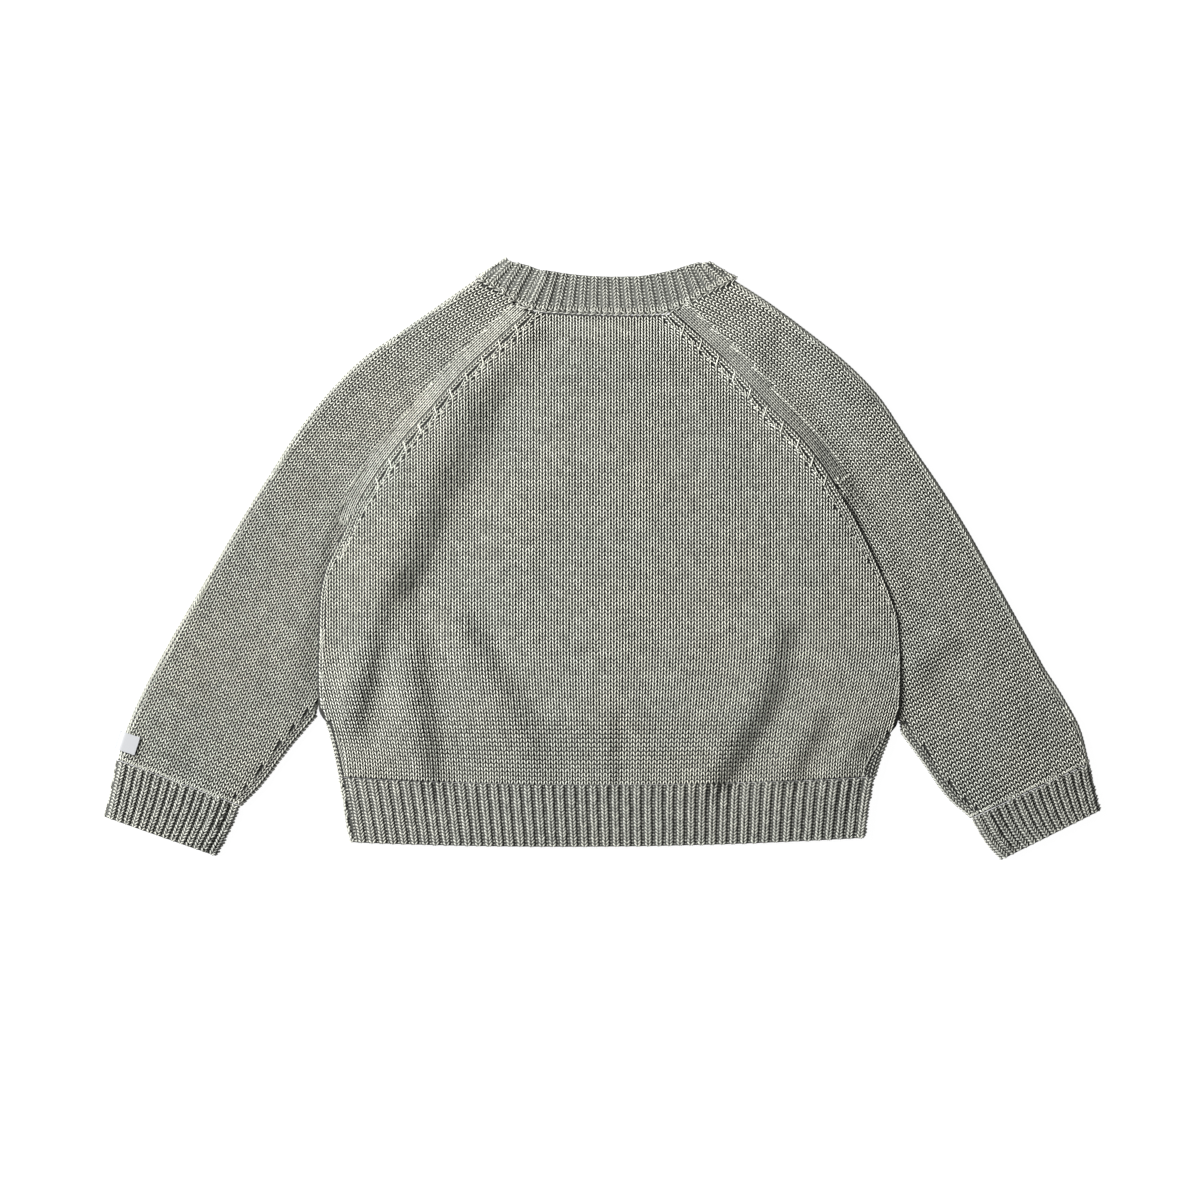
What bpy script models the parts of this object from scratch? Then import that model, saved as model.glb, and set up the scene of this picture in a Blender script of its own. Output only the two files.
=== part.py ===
"""A baby's raglan sweater, knitted in pieces and laid out flat with its back upwards.

The front lies on the surface and the back lies on it. The side seams sit a little way in on the
back, so the front's margins turn up round the edges of the body. A sleeve is one piece of cloth
folded into a flat tube and closed by a seam under the arm. Each piece is a wall built from
sections: a section is a run of points, each with the way out of the cloth there.

Sizes are in millimetres: x across the body, y towards the neck, z up from the surface. MM turns
them into Blender's metres. Left and right are those of the picture that the back makes from above.
"""

import math

import bmesh
import bpy
import numpy as np

MM = 0.001
CLOTH = 2.0  # wall of the plain knit
RIB = 2.4  # wall of the ribbed bands
TAPE = 0.8  # wall of the woven label
SEAM = 0.3  # gap between pieces that are sewn together

# Heights of the middle of the cloth above the surface.
LYING = CLOTH / 2  # the layer that lies on the surface
LOWEST_BACK = LYING + CLOTH + SEAM  # the back where it touches the front
SIDE_LEVEL = 4.8  # the back along its side seams
OVERHANG_LEVEL = 6.5  # the back where it folds out over a sleeve
UNDER_BACK = 3.5  # a sleeve's top under that fold
SLEEVE_LEVEL = 4.9  # a sleeve's top along its outer fold
SLEEVE_CROWN = 0.6  # how far a sleeve's top rises between its edges
CUFF_LEVEL = 4.7  # a cuff's top along both its folds

SLEEVE_SEAM = 5.5  # from a sleeve's inner fold to the seam under the arm, across the top
NECK_DEPTH = 25.0  # from the tops of the front's raglan seams down to the lowest of its neck
OPEN_EDGE = 8.0  # margin of a piece that has a finer mesh, beside its flat edge

# Gently curved lines across the body: the lowest y, how fast it rises, and the x where it is lowest.
NECK_LINE = (128.7, 0.0007, 15.0)
RIB_TOP_LINE = (-120.2, 0.0002, 0.0)
HEM_LINE = (-152.8, 0.00019, -20.0)
HEM_EASE = -80.0  # below this height the panels' sections bend to follow the hem
NECK_EASE = 115.0  # above this height the back's sections bend to follow its neck
FRONT_NECK_EASE = 40.0  # the same on the front, whose neck is lower

# How the back's own level takes over from the level of its edges, and where they lie over a sleeve.
EDGE_REACH = 24.0
OVERHANG_FOOT = (-96.0, -80.0)
OVERHANG_HEAD = (20.0, 60.0)
FOLD_FADE = 0.18  # share of a fold's length over which each end dies out

# Steps of the mesh along the stretches of a section.
BACK_STEPS = 32
FRONT_STEPS = 10
TOP_STEPS = 7
UNDER_STEPS = 4
TURN_STEPS = 4
MARGIN_STEPS = 2
BAND_STEPS = 3
RIB_ROWS = 3

UP = np.array([0.0, 0.0, 1.0])


def table(names, *rows):
    """A table as one array for each named column."""
    return dict(zip(names.split(), np.array(rows, float).T))


# The raglan seams, where the sleeves join the body, and below the armpits the body's folded edges.
# There the front's cloth turns up onto the back (1); above them it lies flat (0).
BODY = table(
    "y left right left_turned right_turned",
    (130.4, -39.6, 37.0, 0, 0),
    (115.0, -56.3, 54.3, 0, 0),
    (98.0, -74.2, 72.2, 0, 0),
    (80.0, -90.0, 88.6, 0, 0),
    (63.0, -105.2, 105.4, 0, 0),
    (44.0, -119.8, 119.6, 0, 0),
    (24.0, -131.2, 131.0, 0, 0),
    (3.0, -136.4, 139.6, 0, 0),
    (-26.0, -139.8, 145.2, 0, 0),
    (-56.0, -143.4, 149.6, 0, 0),
    (-72.0, -146.4, 151.4, 0, 0),
    (-81.5, -148.2, 152.8, 0, 0),
    (-87.0, -146.8, 154.2, 1, 0),
    (-93.5, -144.9, 153.0, 1, 1),
    (-106.0, -142.0, 148.4, 1, 1),
    (-116.5, -139.9, 145.2, 1, 1),
    (-128.0, -137.7, 143.0, 1, 1),
    (-141.0, -136.0, 141.2, 1, 1),
    (-150.0, -133.4, 140.1, 1, 1),
)

# The back's own edges from where they leave the raglan seams: they fold out over the sleeves, and
# from the armpits down they stop at the side seams.
BACK_EDGES = table(
    "y left right",
    (24.0, -131.2, 131.0),
    (16.0, -134.6, 135.0),
    (3.0, -141.0, 141.4),
    (-8.0, -145.8, 146.4),
    (-20.0, -148.2, 151.4),
    (-36.0, -148.8, 156.0),
    (-60.0, -149.4, 157.0),
    (-80.4, -148.4, 156.2),
    (-84.6, -140.8, 155.6),
    (-88.2, -140.2, 154.8),
    (-92.4, -139.6, 145.6),
    (-116.5, -135.7, 137.5),
    (-150.0, -129.8, 133.6),
)
BACK_HEIGHTS = (
    130.4, 122.7, 115, 106.5, 98, 89, 80, 71.5, 63, 53.5, 44, 34, 24, 16, 3, -8, -20, -36, -48,
    -60, -70, -80.4, -84.6, -88.2, -92.4, -99, -107, -116.5,
)
FRONT_HEIGHTS = (
    118.6, 115, 98, 80, 63, 44, 24, 3, -26, -56, -72, -81.5, -87, -93.5, -106, -116.5,
)
HEM_HEIGHTS = (-116.5, -128, -141, -150)
RIB_TOP = HEM_HEIGHTS[0]
RIB_BOTTOM = HEM_HEIGHTS[-1]

# The body's largest folds, each a soft trough (negative depth) or ridge between its two ends.
FOLDS = table(
    "x y end_x end_y half_width depth",
    (-66.0, 96.0, -96.0, 0.0, 15.0, -2.6),
    (-97.0, 4.0, -90.0, -112.0, 9.0, -2.2),
    (-84.0, 20.0, -76.0, -110.0, 12.0, 1.6),
    (-119.0, -20.0, -124.0, -112.0, 8.0, -1.4),
    (-108.0, -20.0, -106.0, -112.0, 8.0, 1.0),
    (-74.0, -30.0, -38.0, -112.0, 9.0, -1.6),
    (104.0, -36.0, 64.0, -114.0, 10.0, -2.6),
    (92.0, -44.0, 46.0, -112.0, 12.0, 1.5),
    (118.0, -92.0, 102.0, -114.0, 7.0, -1.4),
    (6.0, -86.0, 6.0, -112.0, 6.0, -1.2),
    (-52.0, 92.0, 50.0, 92.0, 7.0, -1.1),
    (-40.0, 112.0, 40.0, 112.0, 14.0, 0.7),
)

# A sleeve from the neck to the wrist: its outer fold, the height on the raglan seam that the
# section runs to, and the middle height of its top layer there.
LEFT_RAGLAN = table(
    "outer_x outer_y inner_y inner_z",
    (-66.8, 148.4, 130.4, 4.7),
    (-86.5, 134.5, 115.0, 4.5),
    (-108.0, 119.5, 98.0, 4.3),
    (-126.5, 106.6, 80.0, 4.2),
    (-144.0, 89.5, 63.0, 4.1),
    (-161.5, 67.8, 44.0, 3.9),
    (-177.0, 43.8, 24.0, UNDER_BACK),
    (-191.0, 21.5, 3.0, UNDER_BACK),
    (-207.0, -5.5, -26.0, UNDER_BACK),
    (-219.5, -26.5, -56.0, UNDER_BACK),
    (-226.5, -38.5, -72.0, UNDER_BACK),
)
RIGHT_RAGLAN = table(
    "outer_x outer_y inner_y inner_z",
    (70.6, 147.2, 130.4, 4.7),
    (88.5, 135.6, 115.0, 4.4),
    (109.0, 120.4, 98.0, 4.1),
    (128.0, 105.2, 80.0, 3.9),
    (146.0, 87.0, 63.0, 3.8),
    (164.5, 59.6, 44.0, 3.6),
    (181.5, 34.8, 24.0, UNDER_BACK),
    (195.0, 13.0, 3.0, UNDER_BACK),
    (210.0, -14.0, -26.0, UNDER_BACK),
    (222.0, -35.5, -56.0, UNDER_BACK),
    (229.0, -48.0, -81.5, UNDER_BACK),
)

# The same sleeve below the armpit, where it is a closed tube with an inner fold.
TUBE_COLUMNS = "outer_x outer_y inner_x inner_y inner_z"
LEFT_TUBE = table(
    TUBE_COLUMNS,
    (-231.0, -46.5, -151.2, -84.2, 4.2),
    (-241.5, -66.0, -165.0, -100.4, 4.6),
    (-251.5, -88.0, -180.3, -120.6, 4.7),
    (-257.2, -106.4, -191.0, -131.2, CUFF_LEVEL),
)
RIGHT_TUBE = table(
    TUBE_COLUMNS,
    (234.8, -58.4, 158.0, -92.8, 4.2),
    (244.0, -72.5, 169.5, -108.6, 4.6),
    (254.0, -91.5, 182.3, -126.6, 4.7),
    (258.2, -108.4, 195.0, -137.6, CUFF_LEVEL),
)
LEFT_CUFF = table(
    TUBE_COLUMNS,
    (-257.4, -106.9, -191.3, -131.6, CUFF_LEVEL),
    (-259.4, -117.0, -194.6, -140.0, CUFF_LEVEL),
    (-261.7, -127.5, -199.2, -149.6, CUFF_LEVEL),
    (-263.9, -136.8, -203.8, -158.0, CUFF_LEVEL),
)
RIGHT_CUFF = table(
    TUBE_COLUMNS,
    (258.3, -108.9, 195.4, -138.1, CUFF_LEVEL),
    (260.0, -117.5, 199.8, -146.2, CUFF_LEVEL),
    (262.0, -126.0, 205.2, -154.2, CUFF_LEVEL),
    (263.9, -133.4, 211.0, -159.8, CUFF_LEVEL),
)

# The neckband, section by section from its left end on the back, round the right fold, along the
# lower front and round the left fold to the shoulder, where it ends under its own first end.
BAND_COLUMNS = "seam_x seam_y free_x free_y z"
BAND_BACK = table(
    BAND_COLUMNS,
    (-42.2, 132.8, -31.3, 152.4, 6.7),
    (-33.0, 130.9, -26.0, 151.6, 5.9),
    (-21.0, 130.0, -17.5, 150.4, 5.0),
    (-8.0, 129.4, -7.0, 149.4, 4.8),
    (6.0, 129.0, 5.0, 148.9, 4.8),
    (20.0, 129.0, 17.5, 149.1, 4.8),
    (32.0, 129.6, 28.0, 150.5, 4.8),
    (42.0, 133.0, 37.0, 152.4, 4.8),
    (52.0, 138.2, 45.0, 154.9, 4.8),
    (61.0, 142.9, 51.0, 156.6, 4.8),
)
BAND_FRONT = table(
    BAND_COLUMNS,
    (59.2, 134.2, 47.0, 143.4, RIB / 2),
    (50.4, 119.8, 38.0, 131.4, RIB / 2),
    (36.5, 108.0, 26.5, 122.4, RIB / 2),
    (19.5, 98.6, 14.0, 116.2, RIB / 2),
    (0.0, 94.8, 0.5, 114.2, RIB / 2),
    (-19.5, 98.4, -13.0, 116.2, RIB / 2),
    (-37.0, 107.6, -25.5, 122.4, RIB / 2),
    (-51.6, 120.4, -37.0, 131.6, RIB / 2),
    (-58.2, 134.0, -44.4, 143.6, RIB / 2),
)
BAND_SHOULDER = table(
    BAND_COLUMNS,
    (-58.6, 143.8, -47.6, 156.6, 4.4),
    (-50.0, 138.0, -40.5, 155.2, 4.0),
    (-40.8, 131.8, -30.2, 151.6, 3.95),
)
# Where the band turns under: each fold line's ends at the seam and at the free edge.
BAND_FOLDS = {
    "right": ((70.8, 149.3), (56.6, 157.8)),
    "left": ((-66.4, 149.6), (-51.0, 159.8)),
}

# A folded label round the left sleeve's outer edge, just above the cuff.
LABEL_TOP = (-254.2, -91.6)
LABEL_FOOT = (-257.3, -101.0)
LABEL_REACH = 7.5  # how far it comes in over the sleeve's top
LABEL_TURN = math.radians(115)  # how far it goes round the edge
LABEL_ROWS = 2


def ease(low, high, at):
    """0 below low, 1 above high, with a soft step between."""
    t = np.clip((at - low) / (high - low), 0.0, 1.0)
    return t * t * (3 - 2 * t)


def column_at(columns, name, y):
    return np.interp(y, columns["y"][::-1], columns[name][::-1])


def back_edges(y):
    """The x of the back's two edges at one height."""
    edges = BODY if y > BACK_EDGES["y"][0] else BACK_EDGES
    return column_at(edges, "left", y), column_at(edges, "right", y)


def line_at(line, x):
    lowest, rise, middle = line
    return lowest + rise * (x - middle) ** 2


def rib_line(x, down):
    """The ribbed hem's upper line where down is 0, its lower edge where it is 1."""
    return line_at(RIB_TOP_LINE, x) * (1 - down) + line_at(HEM_LINE, x) * down


def fold_height(x, y):
    """How far all the folds together move the back's cloth up or down at one point."""
    height = 0.0
    for x0, y0, x1, y1, half_width, depth in zip(*FOLDS.values()):
        run_x, run_y = x1 - x0, y1 - y0
        length = math.hypot(run_x, run_y)
        t = ((x - x0) * run_x + (y - y0) * run_y) / length**2
        aside = ((x - x0) * run_y - (y - y0) * run_x) / length
        fade = ease(-FOLD_FADE, FOLD_FADE, t) * (1 - ease(1 - FOLD_FADE, 1 + FOLD_FADE, t))
        height += depth * fade * math.exp(-((aside / half_width) ** 2))
    return height


def back_level(x, y):
    """The middle of the back's cloth: level at the side seams, lifted where it meets a sleeve."""
    left, right = back_edges(y)
    near_edge = 1 - ease(0.0, EDGE_REACH, min(x - left, right - x))
    over_sleeve = ease(*OVERHANG_FOOT, y) * (1 - ease(*OVERHANG_HEAD, y))
    edge = SIDE_LEVEL + (OVERHANG_LEVEL - SIDE_LEVEL) * over_sleeve
    open_cloth = max(SIDE_LEVEL + fold_height(x, y), LOWEST_BACK)
    return edge * near_edge + open_cloth * (1 - near_edge)


def unit(vector):
    return np.array(vector, float) / math.hypot(*vector)


def between(start, end, steps):
    """Points at even steps from start to end, both included."""
    start, end = np.array(start, float), np.array(end, float)
    return [start + (end - start) * t for t in np.linspace(0.0, 1.0, steps + 1)]


def level_run(start, end, z, steps, way=UP):
    """A flat stretch of a section between two points in plan."""
    return [(np.array([*point, z]), way) for point in between(start, end, steps)]


def turn(centre, outward, low, high, downwards=True):
    """A stretch of a section round a fold, between its top at high and its bottom at low."""
    radius, middle = (high - low) / 2, (high + low) / 2
    angles = np.linspace(0.0, math.pi, TURN_STEPS + 1)
    ways = [np.array([*(outward * math.sin(a)), math.cos(a)]) for a in angles]
    stretch = [(np.array([*centre, middle]) + way * radius, way) for way in ways]
    return stretch if downwards else stretch[::-1]


def moved(section, move):
    """The section with each point's y moved by move(x)."""
    return [(point + np.array([0.0, move(point[0]), 0.0]), way) for point, way in section]


def clear_scene():
    for item in list(bpy.data.objects):
        bpy.data.objects.remove(item, do_unlink=True)


def material(name, colour, roughness):
    made = bpy.data.materials.new(name)
    made.use_nodes = True
    shader = made.node_tree.nodes["Principled BSDF"]
    shader.inputs["Base Color"].default_value = (*colour, 1.0)
    shader.inputs["Roughness"].default_value = roughness
    shader.inputs["Metallic"].default_value = 0.0
    return made


def wall(name, sections, thickness, finish):
    """One closed wall through the sections: two skins, and a rim all round."""
    mesh = bmesh.new()
    points = np.array([[point for point, _ in section] for section in sections])
    ways = np.array([[way for _, way in section] for section in sections])
    outer, inner = (
        [[mesh.verts.new(place) for place in row] for row in (points + ways * offset) * MM]
        for offset in (thickness / 2, -thickness / 2)
    )
    last_row, last_column = len(sections) - 1, len(sections[0]) - 1
    for i in range(last_row):
        for j in range(last_column):
            mesh.faces.new((outer[i][j], outer[i + 1][j], outer[i + 1][j + 1], outer[i][j + 1]))
            mesh.faces.new((inner[i][j], inner[i][j + 1], inner[i + 1][j + 1], inner[i + 1][j]))
        for j in (0, last_column):
            mesh.faces.new((outer[i][j], inner[i][j], inner[i + 1][j], outer[i + 1][j]))
    for j in range(last_column):
        for i in (0, last_row):
            mesh.faces.new((outer[i][j], outer[i][j + 1], inner[i][j + 1], inner[i][j]))
    bmesh.ops.recalc_face_normals(mesh, faces=mesh.faces)
    data = bpy.data.meshes.new(name)
    mesh.to_mesh(data)
    mesh.free()
    data.shade_smooth()
    data.set_sharp_from_angle(angle=math.radians(50))
    data.materials.append(finish)
    bpy.context.scene.collection.objects.link(bpy.data.objects.new(name, data))


def back_section(y):
    left, right = back_edges(y)
    points = between((left, y), (right, y), BACK_STEPS)
    return [(np.array([px, py, back_level(px, py)]), UP) for px, py in points]


def back_panel(finish):
    """The back, from the neckband's seam to the ribbed hem."""
    sections = []
    for y in BACK_HEIGHTS:
        near_hem = 1 - ease(RIB_TOP, HEM_EASE, y)
        near_neck = ease(NECK_EASE, BACK_HEIGHTS[0], y)

        def move(x):
            to_hem = line_at(RIB_TOP_LINE, x) + SEAM - RIB_TOP
            to_neck = line_at(NECK_LINE, x) - SEAM - BACK_HEIGHTS[0]
            return to_hem * near_hem + to_neck * near_neck

        sections.append(moved(back_section(y), move))
    return wall("back_panel", sections, CLOTH, finish)


def back_hem_rib(finish):
    """The back's ribbed hem. The folds above it die out in it."""
    sections = []
    for down in np.linspace(0.0, 1.0, RIB_ROWS + 1):
        y = RIB_TOP + (RIB_BOTTOM - RIB_TOP) * down
        section = [
            (np.array([x, rib_line(x, down), SIDE_LEVEL + (z - SIDE_LEVEL) * (1 - down)]), way)
            for (x, _, z), way in back_section(y)
        ]
        sections.append(section)
    return wall("back_hem_rib", sections, RIB, finish)


def side_margin(y, side, thickness):
    """The front's cloth at one side, from its end to where its flat middle starts."""
    outward = -1.0 if side == "left" else 1.0
    low = thickness / 2
    edge = column_at(BODY, side, y)
    if not column_at(BODY, side + "_turned", y):
        end = edge - outward * SEAM
        start = end - outward * OPEN_EDGE
        return level_run((end, y), (start, y), low, TURN_STEPS + MARGIN_STEPS, -UP)
    centre = edge - outward * (SIDE_LEVEL - low + thickness) / 2
    seam = column_at(BACK_EDGES, side, y) + outward * SEAM
    over = max((centre - seam) * outward, 0.0)
    flat = level_run((centre - outward * over, y), (centre, y), SIDE_LEVEL, MARGIN_STEPS)
    return flat[:-1] + turn((centre, y), np.array([outward, 0.0]), low, SIDE_LEVEL)


def front_section(y, thickness):
    left, right = (side_margin(y, side, thickness) for side in ("left", "right"))
    flat = level_run(left[-1][0][:2], right[-1][0][:2], thickness / 2, FRONT_STEPS, -UP)
    return left + flat[1:-1] + right[::-1]


def front_panel(finish):
    """The front, cut down to the neckline at the top and turned up at its sides."""
    sections = []
    for y in FRONT_HEIGHTS:
        left, right = column_at(BODY, "left", y), column_at(BODY, "right", y)
        near_hem = 1 - ease(RIB_TOP, HEM_EASE, y)
        near_neck = ease(FRONT_NECK_EASE, FRONT_HEIGHTS[0], y)

        def move(x):
            from_middle = (2 * x - left - right) / (right - left)
            dip = NECK_DEPTH * (1 - from_middle**2)
            to_hem = line_at(RIB_TOP_LINE, x) + SEAM - RIB_TOP
            return to_hem * near_hem - dip * near_neck

        sections.append(moved(front_section(y, CLOTH), move))
    return wall("front_panel", sections, CLOTH, finish)


def front_hem_rib(finish):
    sections = []
    for y in HEM_HEIGHTS:
        down = (y - RIB_TOP) / (RIB_BOTTOM - RIB_TOP)
        sections.append(moved(front_section(y, RIB), lambda x: rib_line(x, down) - y))
    return wall("front_hem_rib", sections, RIB, finish)


def sleeve_top(seam, centre, start_z, end_z):
    """The stretch of a sleeve's section from the seam across the top to the outer fold."""
    stretch = []
    for k, point in enumerate(between(seam, centre, TOP_STEPS)):
        t = k / TOP_STEPS
        z = start_z + (end_z - start_z) * t + SLEEVE_CROWN * math.sin(math.pi * t)
        stretch.append((np.array([*point, z]), UP))
    return stretch[:-1]


def raglan_section(outer, top_inner, under_inner, inner_z):
    """A sleeve's section above the armpit: it stops at the raglan seams, on the back and front."""
    outward = unit(outer - (top_inner + under_inner) / 2)
    centre = outer - outward * (SLEEVE_LEVEL - LYING + CLOTH) / 2
    top_seam = top_inner + unit(outer - top_inner) * SEAM
    under_seam = under_inner + unit(outer - under_inner) * SEAM
    near_seam = under_inner + unit(outer - under_inner) * (SEAM + OPEN_EDGE)
    section = sleeve_top(top_seam, centre, inner_z, SLEEVE_LEVEL)
    section += turn(centre, outward, LYING, SLEEVE_LEVEL)
    section += level_run(centre, near_seam, LYING, UNDER_STEPS, -UP)[1:-1]
    return section + level_run(near_seam, under_seam, LYING, TURN_STEPS + MARGIN_STEPS, -UP)


def tube_section(outer, inner, inner_z, outer_z, thickness):
    """A section of a closed tube: from its seam all the way round to the seam again."""
    low = thickness / 2
    outward = unit(outer - inner)
    centre = outer - outward * (outer_z - low + thickness) / 2
    inner_centre = inner + outward * (inner_z - low + thickness) / 2
    section = sleeve_top(inner + outward * (SLEEVE_SEAM + SEAM), centre, inner_z, outer_z)
    section += turn(centre, outward, low, outer_z)
    section += level_run(centre, inner_centre, low, UNDER_STEPS, -UP)[1:-1]
    section += turn(inner_centre, -outward, low, inner_z, downwards=False)
    return section + level_run(inner_centre, inner + outward * SLEEVE_SEAM, inner_z, MARGIN_STEPS)[1:]


def tube_sections(columns, outer_z, thickness):
    sections = []
    for outer_x, outer_y, inner_x, inner_y, inner_z in zip(*columns.values()):
        outer, inner = np.array([outer_x, outer_y]), np.array([inner_x, inner_y])
        sections.append(tube_section(outer, inner, inner_z, outer_z, thickness))
    return sections


def sleeve(side, raglan, tube, finish):
    """A sleeve from the neckband to the cuff."""
    sections = []
    for outer_x, outer_y, inner_y, inner_z in zip(*raglan.values()):
        under_y = min(inner_y, FRONT_HEIGHTS[0])
        top_inner = np.array([column_at(BODY, side, inner_y), inner_y])
        under_inner = np.array([column_at(BODY, side, under_y), under_y])
        outer = np.array([outer_x, outer_y])
        sections.append(raglan_section(outer, top_inner, under_inner, inner_z))
    sections += tube_sections(tube, SLEEVE_LEVEL, CLOTH)
    return wall(side + "_sleeve", sections, CLOTH, finish)


def cuff(side, columns, finish):
    return wall(side + "_cuff", tube_sections(columns, CUFF_LEVEL, RIB), RIB, finish)


def band_sections(columns):
    """Straight sections across the neckband, from its seam to its free edge."""
    sections = []
    for seam_x, seam_y, free_x, free_y, z in zip(*columns.values()):
        way = UP if z > RIB else -UP
        sections.append(level_run((seam_x, seam_y), (free_x, free_y), z, BAND_STEPS, way))
    return sections


def band_fold(side, above, downwards):
    """The sections round one of the neckband's folds."""
    seam, free = (np.array(end) for end in BAND_FOLDS[side])
    along = unit(free - seam)
    outward = np.array([along[1], -along[0]]) * (1 if side == "right" else -1)
    reach = (above - RIB / 2 + RIB) / 2
    at_seam, at_free = (
        turn(end - outward * reach, outward, RIB / 2, above, downwards) for end in (seam, free)
    )
    return [
        [(point, way) for point in between(start, stop, BAND_STEPS)]
        for (start, way), (stop, _) in zip(at_seam, at_free)
    ]


def neckband(finish):
    """The ribbed band, one strip all round the neck with its two ends lapped."""
    sections = band_sections(BAND_BACK)
    sections += band_fold("right", BAND_BACK["z"][-1], downwards=True)
    sections += band_sections(BAND_FRONT)
    sections += band_fold("left", BAND_SHOULDER["z"][0], downwards=False)
    sections += band_sections(BAND_SHOULDER)
    return wall("neckband", sections, RIB, finish)


def sleeve_label(finish):
    """The label lies on the sleeve's top and goes round its outer fold."""
    along = unit(np.subtract(LABEL_FOOT, LABEL_TOP))
    outward = np.array([along[1], -along[0]])
    radius = (SLEEVE_LEVEL - LYING) / 2
    clear = CLOTH / 2 + SEAM + TAPE / 2
    sections = []
    for edge in between(LABEL_TOP, LABEL_FOOT, LABEL_ROWS):
        centre = edge - outward * (radius + CLOTH / 2)
        inside = centre - outward * LABEL_REACH
        top = between((*inside, SLEEVE_LEVEL + SLEEVE_CROWN), (*centre, SLEEVE_LEVEL), MARGIN_STEPS)
        section = [(point + UP * clear, UP) for point in top[:-1]]
        for angle in np.linspace(0.0, LABEL_TURN, TURN_STEPS + 1):
            way = np.array([*(outward * math.sin(angle)), math.cos(angle)])
            middle = np.array([*centre, LYING + radius])
            section.append((middle + way * (radius + clear), way))
        sections.append(section)
    return wall("sleeve_label", sections, TAPE, finish)


def main():
    clear_scene()
    knit = material("oatmeal_grey_knit", (0.30, 0.30, 0.27), 0.9)
    rib = material("oatmeal_grey_rib", (0.25, 0.26, 0.23), 0.9)
    tape = material("white_woven_tape", (0.85, 0.85, 0.83), 0.6)
    front_panel(knit)
    back_panel(knit)
    front_hem_rib(rib)
    back_hem_rib(rib)
    sleeve("left", LEFT_RAGLAN, LEFT_TUBE, knit)
    sleeve("right", RIGHT_RAGLAN, RIGHT_TUBE, knit)
    cuff("left", LEFT_CUFF, rib)
    cuff("right", RIGHT_CUFF, rib)
    neckband(rib)
    sleeve_label(tape)


main()
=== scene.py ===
# %% [markdown]
# # A baby's sweater, knitted stitch by stitch
# The sweater lies flat with its back upwards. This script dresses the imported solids: each one is
# replaced by a thin shell of cloth with its own creases, and on the shell lie the strands of yarn
# that make the knit. The frame comes first, because every piece has to stay in its box.

# %% Load the frame
import math

import bmesh
import bpy
import numpy as np
from mathutils import Matrix


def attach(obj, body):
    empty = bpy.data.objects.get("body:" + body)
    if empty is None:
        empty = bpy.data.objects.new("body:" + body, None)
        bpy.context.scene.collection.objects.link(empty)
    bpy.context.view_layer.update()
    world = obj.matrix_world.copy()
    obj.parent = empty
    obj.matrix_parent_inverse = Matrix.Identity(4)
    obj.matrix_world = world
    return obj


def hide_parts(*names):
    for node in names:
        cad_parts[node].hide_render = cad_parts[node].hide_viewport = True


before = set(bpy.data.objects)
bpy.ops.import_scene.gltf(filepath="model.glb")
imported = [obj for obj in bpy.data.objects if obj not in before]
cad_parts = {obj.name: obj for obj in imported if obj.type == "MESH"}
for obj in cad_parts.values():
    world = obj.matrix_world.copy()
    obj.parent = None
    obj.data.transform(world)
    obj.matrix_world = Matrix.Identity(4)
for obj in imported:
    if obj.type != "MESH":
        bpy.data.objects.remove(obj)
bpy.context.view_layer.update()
print("nodes in the frame:", sorted(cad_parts))

# %% [markdown]
# ## Sizes
# All shapes below are in millimetres, in the frame's own directions: x across the body, y towards
# the neck, z up. The walls have the sizes of the solids. The gauge is that of a seven-gauge
# knitting machine: how wide a column of stitches is (a wale) and how high a row is (a course).

# %% Driving sizes
MM = 0.001
UP = np.array([0.0, 0.0, 1.0])
CLOTH = 2.0
RIB = 2.4
SEAM = 0.3
LYING = CLOTH / 2
LOWEST_BACK = LYING + CLOTH + SEAM
SIDE_LEVEL = 4.8
OVERHANG_LEVEL = 6.6
UNDER_BACK = 3.5
SLEEVE_LEVEL = 4.9
SLEEVE_CROWN = 0.6
CUFF_LEVEL = 4.7
SLEEVE_SEAM = 5.5
NECK_DEPTH = 25.0
OPEN_EDGE = 8.0  # margin of finer grid beside a flat edge
HEM_EASE = -80.0  # below this height the panels bend to follow the hem
NECK_EASE = 115.0  # above this height the back bends to follow its neck
FRONT_NECK_EASE = 40.0  # the same on the front, whose neck is lower
RAGLAN_FOOT = 24.0  # where the raglan seams end and the back's free edges begin
HAND = {"left": -1, "right": 1}  # the way out from the middle at each side

BODY_WALE = 3.15
SIDE_WALE = 2.9
BODY_COURSE = 2.03
UPPER_COURSE = 1.83
SLEEVE_WALE = 2.7
SLEEVE_COURSE = 2.22
BORDER_WALE = 2.1
BORDER_COURSE = 2.0
RIB_COURSE = 1.72


# %% Tables and soft curves
def table(names, *rows):
    """A table as one array for each named column."""
    return dict(zip(names.split(), np.array(rows, float).T))


def smooth(known, values, at):
    """Values between a table's rows, on a soft curve that never swings past them."""
    rise = np.diff(values) / np.diff(known)
    before, after = rise[:-1], rise[1:]
    total = np.where(before * after > 0, before + after, 1.0)
    inner = np.where(before * after > 0, 2 * before * after / total, 0.0)
    slope = np.concatenate([rise[:1], inner, rise[-1:]])
    at = np.asarray(at, float)
    i = np.clip(np.searchsorted(known, at, side="right") - 1, 0, len(known) - 2)
    step = known[i + 1] - known[i]
    t = np.clip((at - known[i]) / step, 0.0, 1.0)
    start = (2 * t**3 - 3 * t**2 + 1) * values[i] + (t**3 - 2 * t**2 + t) * step * slope[i]
    return start + (3 * t**2 - 2 * t**3) * values[i + 1] + (t**3 - t**2) * step * slope[i + 1]


def column_at(columns, name, y):
    return smooth(columns["y"][::-1], columns[name][::-1], y)


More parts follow.
